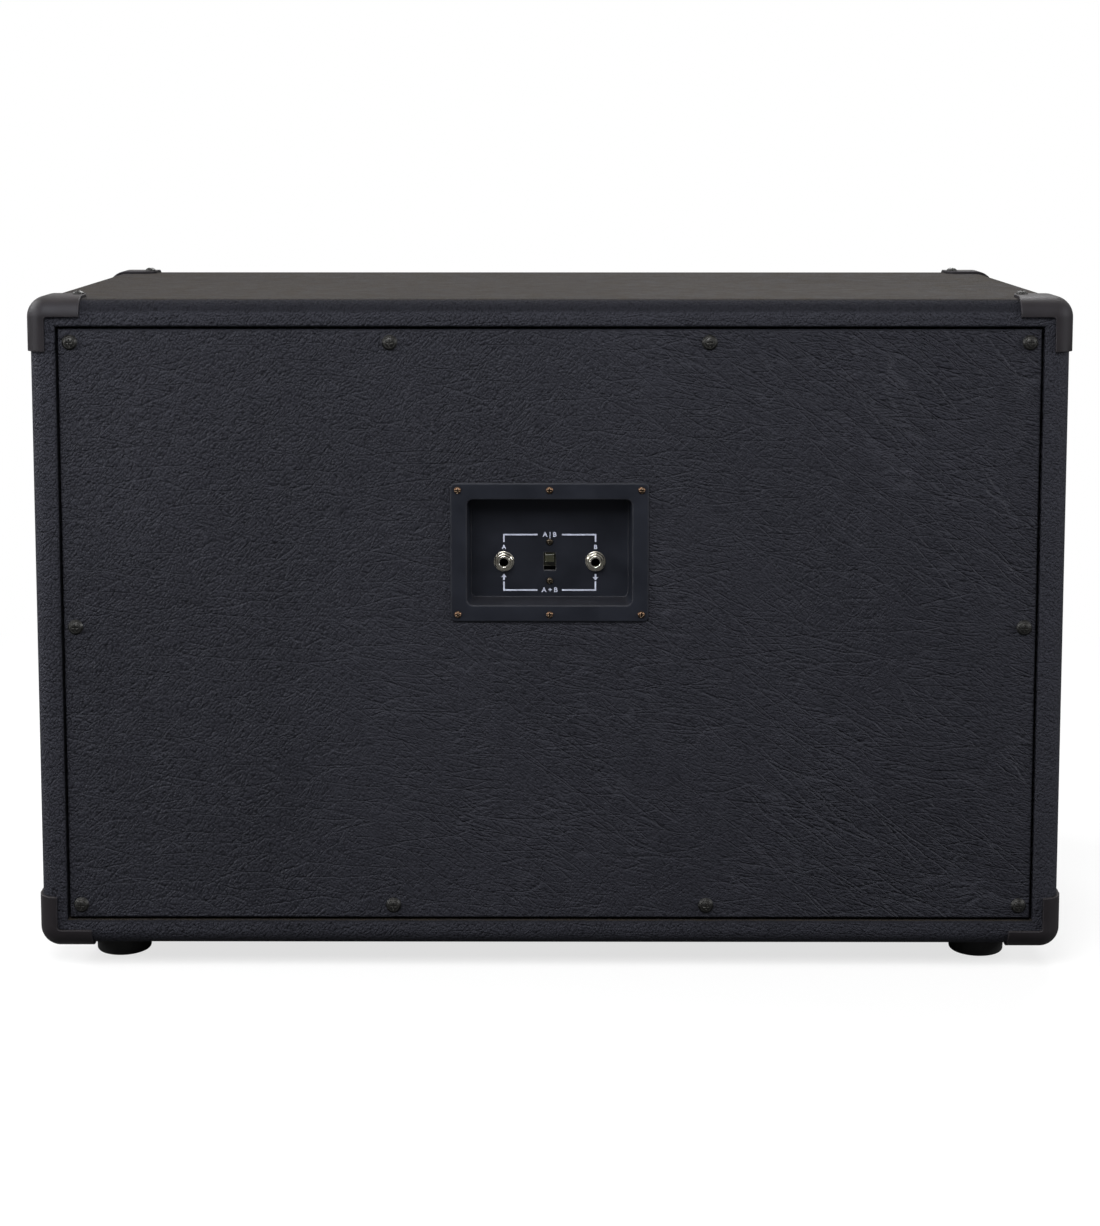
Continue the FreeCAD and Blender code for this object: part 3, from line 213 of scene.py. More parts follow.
def makeGrain(spec):
    group, gin, gout = startGroup(
        "leatherGrain", {"Slant": spec["slant"], "Folds": spec["folds"]},
        {"Height": "Float", "Raised": "Float", "Crease": "Float", "Tone": "Float"})
    spot = objectPlace(group)
    bent = wander(group, spot, spec["bendScale"], spec["bendDetail"], spec["bendReach"])
    across = vectorCalc(group, "DOT_PRODUCT", spot, spec["leanAlong"])
    drift = noise(group, spot, spec["driftScale"], detail=1.0)
    side = calc(group, "MULTIPLY_ADD", across, spec["leanSlope"], drift)
    lean = calc(group, "MULTIPLY", remap(group, side, *spec["leanEnds"]), gin["Slant"])
    stay = calc(group, "SUBTRACT", 1.0, lean)
    plain = cells(group, turned(group, bent, spec["plainTurn"], spec["plainCells"]), 1.0)
    drawn = cells(group, turned(group, bent, spec["drawnTurn"], spec["drawnCells"]), 1.0)
    drawn = calc(group, "MULTIPLY", drawn, calc(group, "MULTIPLY", lean, spec["drawnShare"]))
    plain = calc(group, "MULTIPLY", plain, calc(group, "MULTIPLY", stay, spec["plainShare"]))
    pebbles = calc(group, "POWER", calc(group, "ADD", drawn, plain), spec["roundness"])
    height = calc(group, "MULTIPLY_ADD", pebbles, -1.0, 1.0)
    link(group, remap(group, height, *spec["raisedEnds"]), gout["Raised"])
    swayed = wander(group, spot, spec["swayScale"], spec["swayDetail"], spec["swayReach"])
    shares = {"lean": lean, "stay": stay}
    crease = 0.0
    for fold in spec["creases"]:
        apart = cells(group, turned(group, swayed, fold["turn"], fold["cells"]), 1.0, "DISTANCE_TO_EDGE")
        groove = remap(group, apart, 0.0, fold["width"], fold["depth"], 0.0)
        shown = noise(group, spot, spec["shownScale"] + fold["cells"][0])
        shown = calc(group, "MULTIPLY", remap(group, shown, *spec["shownEnds"]), gin["Folds"])
        if fold["where"] in shares:
            shown = calc(group, "MULTIPLY", shown, shares[fold["where"]])
        line = calc(group, "MULTIPLY", groove, shown)
        height = calc(group, "SUBTRACT", height, line)
        crease = calc(group, "MAXIMUM", crease, line)
    fine = noise(group, spot, spec["fineScale"], rough=0.6)
    link(group, calc(group, "MULTIPLY_ADD", fine, spec["fineDepth"], height), gout["Height"])
    link(group, crease, gout["Crease"])
    cloud = noise(group, spot, spec["cloudScale"], detail=3.0, rough=0.6)
    patch = noise(group, bent, spec["patchScale"], detail=3.0, rough=0.6)
    patch = calc(group, "MULTIPLY", patch, spec["patchShare"])
    link(group, calc(group, "MULTIPLY_ADD", cloud, spec["cloudShare"], patch), gout["Tone"])
    return group


# rounded edges with wear and a painted highlight, only on proud edges, so hollow ones stay dark; hollows
# also get a mask for painted shade

softEdge = {
    "radius": 0.0006,
    "gain": 6.0,
    "reach": 0.0016,
    "bevelSamples": 6,
    "openSamples": 5,
    "edgePatchinessScale": 240.0,
    "edgePatchinessEnds": (0.25, 0.7),
    "edgePatchinessLeast": 0.35,
    "proudEnds": (0.62, 0.92),
    "hollowEnds": (0.35, 0.9),
}


def makeSoftEdge(spec):
    group, gin, gout = startGroup(
        "softEdge", {"Radius": spec["radius"], "Gain": spec["gain"], "Reach": spec["reach"]},
        {"Normal": "Vector", "WearAndHighlight": "Float", "Hollow": "Float"})
    bevel = group.nodes.new("ShaderNodeBevel")
    bevel.samples = spec["bevelSamples"]
    link(group, gin["Radius"], bevel.inputs["Radius"])
    flat = group.nodes.new("ShaderNodeNewGeometry").outputs["Normal"]
    lean = calc(group, "SUBTRACT", 1.0, vectorCalc(group, "DOT_PRODUCT", bevel.outputs["Normal"], flat))
    edgePatchiness = noise(group, objectPlace(group), spec["edgePatchinessScale"], detail=3.0, rough=0.65)
    edgePatchiness = remap(group, edgePatchiness, *spec["edgePatchinessEnds"], spec["edgePatchinessLeast"], 1.0)
    # this mask is wear and also a painted highlight along proud edges, where light would catch them
    wearAndHighlight = calc(group, "MULTIPLY", calc(group, "MULTIPLY", lean, gin["Gain"], clamp=True), edgePatchiness)
    openness = group.nodes.new("ShaderNodeAmbientOcclusion")
    openness.samples = spec["openSamples"]
    openness.only_local = True
    link(group, gin["Reach"], openness.inputs["Distance"])
    proud = remap(group, openness.outputs["AO"], *spec["proudEnds"])
    link(group, bevel.outputs["Normal"], gout["Normal"])
    link(group, calc(group, "MULTIPLY", wearAndHighlight, proud), gout["WearAndHighlight"])
    # the hollow mask comes from ambient occlusion and marks recesses and gaps between parts, where metals
    # get painted shade
    link(group, remap(group, openness.outputs["AO"], *spec["hollowEnds"], 1.0, 0.0), gout["Hollow"])
    return group


# where the covering turns over an upper edge

edgeTurn = {
    "start": 0.998,
    "full": 0.94,
    "upEnds": (0.12, 0.5),
}


def makeTurn(spec):
    group, gin, gout = startGroup(
        "edgeTurn", {"Start": spec["start"], "Full": spec["full"]}, {"Mask": "Float"})
    facing = group.nodes.new("ShaderNodeNewGeometry").outputs["Normal"]
    x, y, z = split(group, vectorCalc(group, "ABSOLUTE", facing))
    most = calc(group, "MAXIMUM", x, calc(group, "MAXIMUM", y, z))
    turning = remap(group, most, gin["Full"], gin["Start"], 1.0, 0.0)
    link(group, calc(group, "MULTIPLY", turning, upness(group, facing, *spec["upEnds"])), gout["Mask"])
    return group


# dust on what faces up; on the covering the same mask paints a brownish sheen on upward faces, a painted
# sheen

dustAndTopSheen = {
    "amount": 0.1,
    "scale": 90.0,
    "from": 0.3,
    "level": 0.999,
    "speckEnds": (0.25, 0.75),
    "speckLeast": 0.45,
}


def makeDustAndTopSheen(spec):
    group, gin, gout = startGroup(
        "dustAndTopSheen", {"Amount": spec["amount"], "Scale": spec["scale"], "From": spec["from"]},
        {"Mask": "Float"})
    facing = group.nodes.new("ShaderNodeNewGeometry").outputs["True Normal"]
    up = upness(group, facing, gin["From"], spec["level"])
    specks = noise(group, objectPlace(group), gin["Scale"], detail=4.0, rough=0.7)
    specks = remap(group, specks, *spec["speckEnds"], spec["speckLeast"], 1.0)
    link(group, calc(group, "MULTIPLY", calc(group, "MULTIPLY", specks, up), gin["Amount"]), gout["Mask"])
    return group


# fine texture of moulded, cast and painted surfaces

mouldStipple = {
    "scale": 900.0,
    "smear": 40.0,
    "blend": 0.6,
}


def makeStipple(spec):
    group, gin, gout = startGroup(
        "mouldStipple", {"Scale": spec["scale"], "Smear": spec["smear"]},
        {"Height": "Float", "Smear": "Float"})
    spot = objectPlace(group)
    dots = cells(group, spot, gin["Scale"], "SMOOTH_F1", spec["blend"])
    link(group, calc(group, "SUBTRACT", 1.0, dots), gout["Height"])
    link(group, noise(group, spot, gin["Smear"], detail=3.0, rough=0.6), gout["Smear"])
    return group


# threads of woven cloth

plainWeave = {
    "threads": 900.0,
    "fuzz": 0.3,
    "wanderScale": 60.0,
    "wanderReach": 0.0006,
    "fuzzScale": 2600.0,
    "toneScale": 26.0,
}


def makeWeave(spec):
    group, gin, gout = startGroup(
        "plainWeave", {"Threads": spec["threads"], "Fuzz": spec["fuzz"]},
        {"Height": "Float", "Over": "Float", "Tone": "Float"})
    spot = objectPlace(group)
    shift = noise(group, spot, spec["wanderScale"], color=True)
    shift = vectorCalc(group, "SCALE", shift, scale=spec["wanderReach"])
    x, y, z = split(group, vectorCalc(group, "ADD", spot, shift))
    across = calc(group, "MULTIPLY", calc(group, "ADD", x, y), gin["Threads"])
    upward = calc(group, "MULTIPLY", calc(group, "ADD", z, y), gin["Threads"])
    warp = calc(group, "ABSOLUTE", calc(group, "SINE", calc(group, "MULTIPLY", across, math.pi)))
    weft = calc(group, "ABSOLUTE", calc(group, "SINE", calc(group, "MULTIPLY", upward, math.pi)))
    both = calc(group, "ADD", calc(group, "FLOOR", across), calc(group, "FLOOR", upward))
    over = calc(group, "PINGPONG", both, 1.0)
    height = calc(group, "ADD", calc(group, "MULTIPLY", warp, over),
                  calc(group, "MULTIPLY", weft, calc(group, "SUBTRACT", 1.0, over)))
    fuzz = noise(group, spot, spec["fuzzScale"], detail=3.0, rough=0.7)
    fuzz = calc(group, "MULTIPLY", fuzz, gin["Fuzz"])
    link(group, calc(group, "ADD", height, fuzz), gout["Height"])
    link(group, over, gout["Over"])
    link(group, noise(group, spot, spec["toneScale"], detail=4.0, rough=0.6), gout["Tone"])
    return group


# fibres of wood

woodFibre = {
    "along": 12.0,
    "across": 260.0,
    "distort": 0.4,
}


def makeFibre(spec):
    group, gin, gout = startGroup(
        "woodFibre", {"Along": spec["along"], "Across": spec["across"]}, {"Streaks": "Float"})
    joined = group.nodes.new("ShaderNodeCombineXYZ")
    for part, stretch, target in zip(split(group, objectPlace(group)), ("Along", "Across", "Across"),
                                     joined.inputs):
        link(group, calc(group, "MULTIPLY", part, gin[stretch]), target)
    streaks = noise(group, joined.outputs[0], 1.0, detail=4.0, rough=0.6, distort=spec["distort"])
    link(group, streaks, gout["Streaks"])
    return group


grainGroup = makeGrain(leatherGrain)
edgeGroup = makeSoftEdge(softEdge)
turnGroup = makeTurn(edgeTurn)
dustAndTopSheenGroup = makeDustAndTopSheen(dustAndTopSheen)
stippleGroup = makeStipple(mouldStipple)
weaveGroup = makeWeave(plainWeave)
fibreGroup = makeFibre(woodFibre)
print("surface groups made")


# what all materials share

toneEnds = (0.3, 0.7)


def startMaterial(name, values):
    material = bpy.data.materials.new(name)
    material.use_nodes = True
    tree = material.node_tree
    shader = tree.nodes["Principled BSDF"]
    for label, value in values.items():
        shader.inputs[label].default_value = value
    return material, tree, shader


def bumpInto(tree, shader, height, strength, distance, normal=None):
    bump = tree.nodes.new("ShaderNodeBump")
    bump.inputs["Strength"].default_value = strength
    bump.inputs["Distance"].default_value = distance
    link(tree, height, bump.inputs["Height"])
    if normal is not None:
        link(tree, normal, bump.inputs["Normal"])
    link(tree, bump.outputs["Normal"], shader.inputs["Normal"])


def shaded(tree, base, tone, spread):
    return mixColors(tree, 1.0, base, remap(tree, tone, *toneEnds, *spread, smooth=False), "MULTIPLY")


def dress(makeMaterial, finishes):
    for spec in finishes:
        material = makeMaterial(spec)
        for name in spec["nodes"]:
            slots = cadNodes[name].data.materials
            slots.clear()
            slots.append(material)


# grained covering

coveringLook = {
    "valley": (0.0062, 0.0063, 0.0082, 1.0),
    "crown": (0.0140, 0.0143, 0.0183, 1.0),
    "crease": (0.0230, 0.0235, 0.0290, 1.0),
    "creaseShare": 0.6,
    # colour of the painted sheen on the shell's upward faces
    "paintedTopSheen": (0.020, 0.015, 0.008, 1.0),
    "paintedTopSheenScale": 70.0,
    "paintedTopSheenFrom": 0.90,
    "paintedTopSheenRough": 0.3,
    "specular": 0.06,
    "tint": (0.84, 0.88, 1.0, 1.0),
    "spread": (0.84, 1.16),
    "roughSpread": 0.14,
    "edgePaintedShade": 0.56,
    "edgeGrain": 0.6,
    "edgeRough": 0.3,
    "bump": 1.0,
    "bumpDepth": 0.0010,
}

# the shell's copy is painted lighter by its lift, as painted light for its more brightly lit borders; lift
# also deepens its bump
coverings = [
    {"name": "shellGrain", "nodes": ["shell_covering"],
     "slant": 0.4, "folds": 0.7, "paintedTopSheen": 0.75, "lift": 1.12, "rough": 0.54},
    {"name": "rearPanelGrain", "nodes": ["rear_panel_covering"],
     "slant": 1.0, "folds": 1.0, "paintedTopSheen": 0.0, "lift": 1.0, "rough": 0.40},
]


def coveringMaterial(spec):
    look = coveringLook
    material, tree, shader = startMaterial(spec["name"], {
        "Specular IOR Level": look["specular"], "Specular Tint": look["tint"]})
    grain = place(tree, grainGroup, {"Slant": spec["slant"], "Folds": spec["folds"]})
    dust = place(tree, dustAndTopSheenGroup, {
        "Amount": spec["paintedTopSheen"], "Scale": look["paintedTopSheenScale"], "From": look["paintedTopSheenFrom"]})
    edge = place(tree, turnGroup, {})
    # the grain's low spots get the darker valley colour and its crowns the lighter one: painted shade in the
    # grain's hollows
    color = mixColors(tree, grain["Raised"], look["valley"], look["crown"])
    # crease lines are painted lighter, partly as dust in them and partly as a painted highlight on their lit
    # lips
    creased = calc(tree, "MULTIPLY", grain["Crease"], look["creaseShare"])
    color = mixColors(tree, creased, color, look["crease"])
    # lift scales the colour range, giving a lighter painted copy of the same covering
    ends = [end * spec["lift"] for end in look["spread"]]
    shade = remap(tree, grain["Tone"], *toneEnds, *ends, smooth=False)
    # the covering is painted darker where it turns over an upper edge: painted shade
    shade = calc(tree, "MULTIPLY", shade, remap(tree, edge["Mask"], 0.0, 1.0, 1.0, look["edgePaintedShade"]))
    color = mixColors(tree, 1.0, color, shade, "MULTIPLY")
    # upward faces of the shell are painted brownish, broken up in specks: a painted sheen
    color = mixColors(tree, dust["Mask"], color, look["paintedTopSheen"])
    link(tree, color, shader.inputs["Base Color"])
    most = spec["rough"] + look["roughSpread"]
    rough = remap(tree, grain["Tone"], *toneEnds, spec["rough"], most, smooth=False)
    rough = calc(tree, "MULTIPLY_ADD", dust["Mask"], look["paintedTopSheenRough"], rough)
    rough = calc(tree, "MULTIPLY_ADD", edge["Mask"], look["edgeRough"], rough, clamp=True)
    link(tree, rough, shader.inputs["Roughness"])
    flatter = remap(tree, edge["Mask"], 0.0, 1.0, 1.0, look["edgeGrain"])
    height = calc(tree, "MULTIPLY", grain["Height"], flatter)
    bumpInto(tree, shader, height, look["bump"], look["bumpDepth"] * spec["lift"])
    return material


dress(coveringMaterial, coverings)


# moulded plastic

plasticLook = {
    "tint": (0.88, 0.91, 1.0, 1.0),
    "smear": 38.0,
    "spread": (0.82, 1.2),
    "dust": (0.060, 0.050, 0.042, 1.0),
    "dustScale": 160.0,
    "dustFrom": 0.5,
    "dustRough": 0.35,
    "roughSpread": 0.07,
    "bump": 0.12,
    "bumpDepth": 0.0002,
}

plastics = [
    {"name": "cornerPlastic", "base": (0.0080, 0.0068, 0.0076, 1.0), "wornAndHighlight": (0.040, 0.038, 0.042, 1.0),
     "rough": 0.52, "specular": 0.12, "edge": 0.0012, "wearAndHighlight": 4.0, "stipple": 1500.0, "dust": 0.12,
     "nodes": [f"{level}_{end}_{hand}_corner" for level in ("top", "bottom")
               for end in ("front", "rear") for hand in hands]},
    {"name": "platePlastic", "base": (0.0054, 0.0062, 0.0092, 1.0), "wornAndHighlight": (0.080, 0.078, 0.078, 1.0),
     "rough": 0.50, "specular": 0.14, "edge": 0.0012, "wearAndHighlight": 7.0, "stipple": 1700.0, "dust": 0.08,
     "nodes": ["jack_plate", "switch_body"]},
    {"name": "handlePlastic", "base": (0.0110, 0.0108, 0.0125, 1.0), "wornAndHighlight": (0.06, 0.06, 0.066, 1.0),
     "rough": 0.48, "specular": 0.26, "edge": 0.0012, "wearAndHighlight": 5.0, "stipple": 1300.0, "dust": 0.6,
     "nodes": ["left_handle", "right_handle"]},
    {"name": "knobPlastic", "base": (0.019, 0.019, 0.011, 1.0), "wornAndHighlight": (0.42, 0.42, 0.35, 1.0),
     "rough": 0.24, "specular": 0.30, "edge": 0.0006, "wearAndHighlight": 5.0, "stipple": 1900.0, "dust": 0.0,
     "nodes": ["switch_slider"]},
]


def plasticMaterial(spec):
    look = plasticLook
    material, tree, shader = startMaterial(spec["name"], {
        "Specular IOR Level": spec["specular"], "Specular Tint": look["tint"]})
    soft = place(tree, edgeGroup, {"Radius": spec["edge"], "Gain": spec["wearAndHighlight"]})
    skin = place(tree, stippleGroup, {"Scale": spec["stipple"], "Smear": look["smear"]})
    dust = place(tree, dustAndTopSheenGroup, {
        "Amount": spec["dust"], "Scale": look["dustScale"], "From": look["dustFrom"]})
    color = shaded(tree, spec["base"], skin["Smear"], look["spread"])
    # proud edges take the lighter worn colour: wear, and a painted highlight
    color = mixColors(tree, soft["WearAndHighlight"], color, spec["wornAndHighlight"])
    color = mixColors(tree, dust["Mask"], color, look["dust"])
    link(tree, color, shader.inputs["Base Color"])
    rough = remap(tree, skin["Smear"], *toneEnds, spec["rough"] - look["roughSpread"],
                  spec["rough"] + look["roughSpread"])
    rough = calc(tree, "MULTIPLY_ADD", dust["Mask"], look["dustRough"], rough, clamp=True)
    link(tree, rough, shader.inputs["Roughness"])
    bumpInto(tree, shader, skin["Height"], look["bump"], look["bumpDepth"], soft["Normal"])
    return material


dress(plasticMaterial, plastics)


# bare, plated and painted metal

metalLook = {
    "stipple": 1800.0,
    "smear": 320.0,
    "spread": (0.8, 1.15),
    "grime": (0.05, 0.043, 0.036, 1.0),
    "grimeScale": 420.0,
    "hollow": (0.004, 0.004, 0.003, 1.0),
    "roughSpread": (0.75, 1.3),
    "bump": 0.05,
    "bumpDepth": 0.0001,
}

metals = [
    {"name": "blackScrews", "base": (0.0060, 0.0060, 0.0058, 1.0), "wornAndHighlight": (0.10, 0.097, 0.090, 1.0),
     "rough": 0.40, "metallic": 0.6, "edge": 0.0004, "wearAndHighlight": 4.0, "grime": 0.05,
     "nodes": ["rear_panel_screws", "corner_screws", "handle_screws", "foot_screws", "speaker_bolts"]},
    {"name": "bronzedScrews", "base": (0.066, 0.039, 0.024, 1.0), "wornAndHighlight": (0.46, 0.33, 0.23, 1.0),
     "rough": 0.32, "metallic": 1.0, "edge": 0.0005, "wearAndHighlight": 4.0, "grime": 0.2,
     "nodes": ["jack_plate_screws"]},
    {"name": "darkBronze", "base": (0.045, 0.036, 0.027, 1.0), "wornAndHighlight": (0.24, 0.20, 0.15, 1.0),
     "rough": 0.36, "metallic": 1.0, "edge": 0.0005, "wearAndHighlight": 3.0, "grime": 0.3,
     "nodes": ["switch_screws"]},
    {"name": "cupWashers", "base": (0.0055, 0.0055, 0.0055, 1.0), "wornAndHighlight": (0.075, 0.073, 0.066, 1.0),
     "rough": 0.44, "metallic": 0.6, "edge": 0.0006, "wearAndHighlight": 6.0, "grime": 0.05,
     "nodes": ["rear_panel_washers"]},
    {"name": "nickel", "base": (0.32, 0.30, 0.25, 1.0), "wornAndHighlight": (0.96, 0.94, 0.89, 1.0),
     "rough": 0.18, "metallic": 1.0, "edge": 0.0008, "wearAndHighlight": 9.0, "grime": 0.2,
     "nodes": ["jack_nuts", "left_jack_body", "right_jack_body"]},
    {"name": "zincSteel", "base": (0.42, 0.43, 0.44, 1.0), "wornAndHighlight": (0.6, 0.6, 0.6, 1.0),
     "rough": 0.36, "metallic": 1.0, "edge": 0.0004, "wearAndHighlight": 3.0, "grime": 0.2,
     "nodes": ["speaker_top_plates", "speaker_yokes", "speaker_tee_nuts", "switch_lugs"]},
    {"name": "springBrass", "base": (0.62, 0.44, 0.17, 1.0), "wornAndHighlight": (0.75, 0.58, 0.28, 1.0),
     "rough": 0.3, "metallic": 1.0, "edge": 0.0003, "wearAndHighlight": 3.0, "grime": 0.2,
     "nodes": ["left_jack_contact", "right_jack_contact"]},
    {"name": "paintedBasket", "base": (0.022, 0.022, 0.024, 1.0), "wornAndHighlight": (0.08, 0.08, 0.08, 1.0),
     "rough": 0.5, "metallic": 0.2, "edge": 0.0008, "wearAndHighlight": 4.0, "grime": 0.1,
     "nodes": ["speaker_baskets"]},
]


def metalMaterial(spec):
    look = metalLook
    material, tree, shader = startMaterial(spec["name"], {"Metallic": spec["metallic"]})
    soft = place(tree, edgeGroup, {"Radius": spec["edge"], "Gain": spec["wearAndHighlight"]})
    skin = place(tree, stippleGroup, {"Scale": look["stipple"], "Smear": look["smear"]})
    dust = place(tree, dustAndTopSheenGroup, {"Amount": spec["grime"], "Scale": look["grimeScale"]})
    color = shaded(tree, spec["base"], skin["Smear"], look["spread"])
    # proud edges take the lighter worn colour: wear, and a painted highlight
    color = mixColors(tree, soft["WearAndHighlight"], color, spec["wornAndHighlight"])
    color = mixColors(tree, dust["Mask"], color, look["grime"])
    # recesses, screw crosses and gaps between parts are painted near black: painted shade
    color = mixColors(tree, soft["Hollow"], color, look["hollow"])
    link(tree, color, shader.inputs["Base Color"])
    rough = remap(tree, skin["Smear"], *toneEnds, *[spec["rough"] * share for share in look["roughSpread"]])
    link(tree, rough, shader.inputs["Roughness"])
    bumpInto(tree, shader, skin["Height"], look["bump"], look["bumpDepth"], soft["Normal"])
    return material


dress(metalMaterial, metals)


# rubber, board, paper and other matt surfaces

mattLook = {
    "smearShare": 0.12,
    "dust": (0.36, 0.34, 0.31, 1.0),
    "dustScale": 130.0,
    "roughSpread": 0.06,
    "bumpShare": 0.3,
}

mattFinishes = [
    {"name": "footRubber", "base": (0.0085, 0.0085, 0.0090, 1.0), "rough": 0.72, "specular": 0.3,
     "stipple": 900.0, "bump": 0.2, "spread": 0.25, "dust": 0.12, "nodes": ["rubber_feet"]},
    {"name": "ferrite", "base": (0.030, 0.030, 0.031, 1.0), "rough": 0.66, "specular": 0.35,
     "stipple": 1100.0, "bump": 0.25, "spread": 0.25, "dust": 0.1, "nodes": ["speaker_magnets"]},
    {"name": "gasketBoard", "base": (0.055, 0.050, 0.044, 1.0), "rough": 0.85, "specular": 0.2,
     "stipple": 1400.0, "bump": 0.3, "spread": 0.25, "dust": 0.1, "nodes": ["speaker_gaskets"]},
    {"name": "insulatingBoard", "base": (0.14, 0.075, 0.04, 1.0), "rough": 0.55, "specular": 0.4,
     "stipple": 1500.0, "bump": 0.15, "spread": 0.2, "dust": 0.05,
     "nodes": ["jack_insulators", "speaker_terminals"]},
    {"name": "conePaper", "base": (0.020, 0.019, 0.018, 1.0), "rough": 0.88, "specular": 0.2,
     "stipple": 700.0, "bump": 0.5, "spread": 0.35, "dust": 0.08, "nodes": ["left_cone", "right_cone"]},
    {"name": "dustCapPaper", "base": (0.024, 0.023, 0.022, 1.0), "rough": 0.82, "specular": 0.25,
     "stipple": 900.0, "bump": 0.4, "spread": 0.3, "dust": 0.08,
     "nodes": ["left_dust_cap", "right_dust_cap"]},
    {"name": "coilFormer", "base": (0.45, 0.30, 0.12, 1.0), "rough": 0.5, "specular": 0.4,
     "stipple": 1600.0, "bump": 0.1, "spread": 0.2, "dust": 0.0,
     "nodes": ["left_voice_coil", "right_voice_coil"]},
    {"name": "hookAndLoop", "base": (0.016, 0.016, 0.017, 1.0), "rough": 0.92, "specular": 0.15,
     "stipple": 1500.0, "bump": 0.9, "spread": 0.4, "dust": 0.05, "nodes": ["grille_fasteners"]},
    {"name": "wireSleeve", "base": (0.16, 0.012, 0.010, 1.0), "rough": 0.45, "specular": 0.4,
     "stipple": 800.0, "bump": 0.1, "spread": 0.2, "dust": 0.05, "nodes": ["speaker_wires"]},
]


def mattMaterial(spec):
    look = mattLook
    material, tree, shader = startMaterial(spec["name"], {"Specular IOR Level": spec["specular"]})
    skin = place(tree, stippleGroup, {
        "Scale": spec["stipple"], "Smear": spec["stipple"] * look["smearShare"]})
    dust = place(tree, dustAndTopSheenGroup, {"Amount": spec["dust"], "Scale": look["dustScale"]})
    color = shaded(tree, spec["base"], skin["Smear"], (1.0 - spec["spread"], 1.0 + spec["spread"]))
    color = mixColors(tree, dust["Mask"], color, look["dust"])
    link(tree, color, shader.inputs["Base Color"])
    rough = remap(tree, skin["Smear"], *toneEnds, spec["rough"] - look["roughSpread"],
                  spec["rough"] + look["roughSpread"])
    link(tree, rough, shader.inputs["Roughness"])
    bumpInto(tree, shader, skin["Height"], spec["bump"], look["bumpShare"] / spec["stipple"])
    return material


dress(mattMaterial, mattFinishes)


# woven cloth

clothLook = {
    "specular": 0.15,
    "sheenRough": 0.5,
    "spread": (0.85, 1.15),
    "deepEnds": (0.05, 0.7),
    "deepShade": 0.35,
    "roughSpread": 0.05,
    "bumpShare": 0.5,
}

cloths = [
    {"name": "surroundCloth", "warp": (0.026, 0.024, 0.023, 1.0), "weft": (0.018, 0.017, 0.016, 1.0),
     "threads": 1400.0, "fuzz": 0.4, "rough": 0.8, "bump": 0.4, "sheen": 0.0,
     "nodes": ["left_surround", "right_surround"]},
    {"name": "spiderCloth", "warp": (0.34, 0.20, 0.075, 1.0), "weft": (0.27, 0.15, 0.055, 1.0),
     "threads": 1500.0, "fuzz": 0.4, "rough": 0.8, "bump": 0.4, "sheen": 0.0,
     "nodes": ["left_spider", "right_spider"]},
]


def clothMaterial(spec):
    look = clothLook
    material, tree, shader = startMaterial(spec["name"], {
        "Specular IOR Level": look["specular"], "Sheen Weight": spec["sheen"],
        "Sheen Roughness": look["sheenRough"]})
    weave = place(tree, weaveGroup, {"Threads": spec["threads"], "Fuzz": spec["fuzz"]})
    color = mixColors(tree, weave["Over"], spec["weft"], spec["warp"])
    color = shaded(tree, color, weave["Tone"], look["spread"])
    deep = remap(tree, weave["Height"], *look["deepEnds"], look["deepShade"], 1.0)
    color = mixColors(tree, 1.0, color, deep, "MULTIPLY")
    link(tree, color, shader.inputs["Base Color"])
    rough = remap(tree, weave["Tone"], *toneEnds, spec["rough"] - look["roughSpread"],
                  spec["rough"] + look["roughSpread"])
    link(tree, rough, shader.inputs["Roughness"])
    bumpInto(tree, shader, weave["Height"], spec["bump"], look["bumpShare"] / spec["threads"])
    return material


dress(clothMaterial, cloths)


# plain and stained wood

woodLook = {
    "specular": 0.3,
    "roughSpread": 0.08,
    "bump": 0.25,
    "bumpDepth": 0.0004,
}

woods = [
    {"name": "plywood", "light": (0.50, 0.34, 0.19, 1.0), "dark": (0.36, 0.22, 0.11, 1.0),
     "along": 9.0, "across": 230.0, "rough": 0.62,
     "nodes": ["top_panel", "bottom_panel", "left_side_panel", "right_side_panel", "rear_panel"]},
    {"name": "softwood", "light": (0.58, 0.42, 0.25, 1.0), "dark": (0.46, 0.30, 0.15, 1.0),
     "along": 7.0, "across": 150.0, "rough": 0.6, "nodes": ["baffle_cleats"]},
    {"name": "blackStain", "light": (0.012, 0.011, 0.011, 1.0), "dark": (0.006, 0.006, 0.006, 1.0),
     "along": 7.0, "across": 150.0, "rough": 0.75, "nodes": ["rear_cleats", "baffle_board", "grille_frame"]},
]


def woodMaterial(spec):
    look = woodLook
    material, tree, shader = startMaterial(spec["name"], {"Specular IOR Level": look["specular"]})
    streaks = place(tree, fibreGroup, {"Along": spec["along"], "Across": spec["across"]})["Streaks"]
    color = mixColors(tree, remap(tree, streaks, *toneEnds), spec["dark"], spec["light"])
    link(tree, color, shader.inputs["Base Color"])
    rough = remap(tree, streaks, *toneEnds, spec["rough"] - look["roughSpread"],
                  spec["rough"] + look["roughSpread"])
    link(tree, rough, shader.inputs["Roughness"])
    bumpInto(tree, shader, streaks, look["bump"], look["bumpDepth"])
    return material


dress(woodMaterial, woods)
print("finishes placed on the CAD nodes")


# small helper for new pieces

def addPiece(name, mesh, material):
    data = bpy.data.meshes.new(name)
    mesh.to_mesh(data)
    mesh.free()
    data.materials.append(material)
    piece = bpy.data.objects.new(name, data)
    scene.collection.objects.link(piece)
    return piece


# stretched grille cloth, turned in round its frame

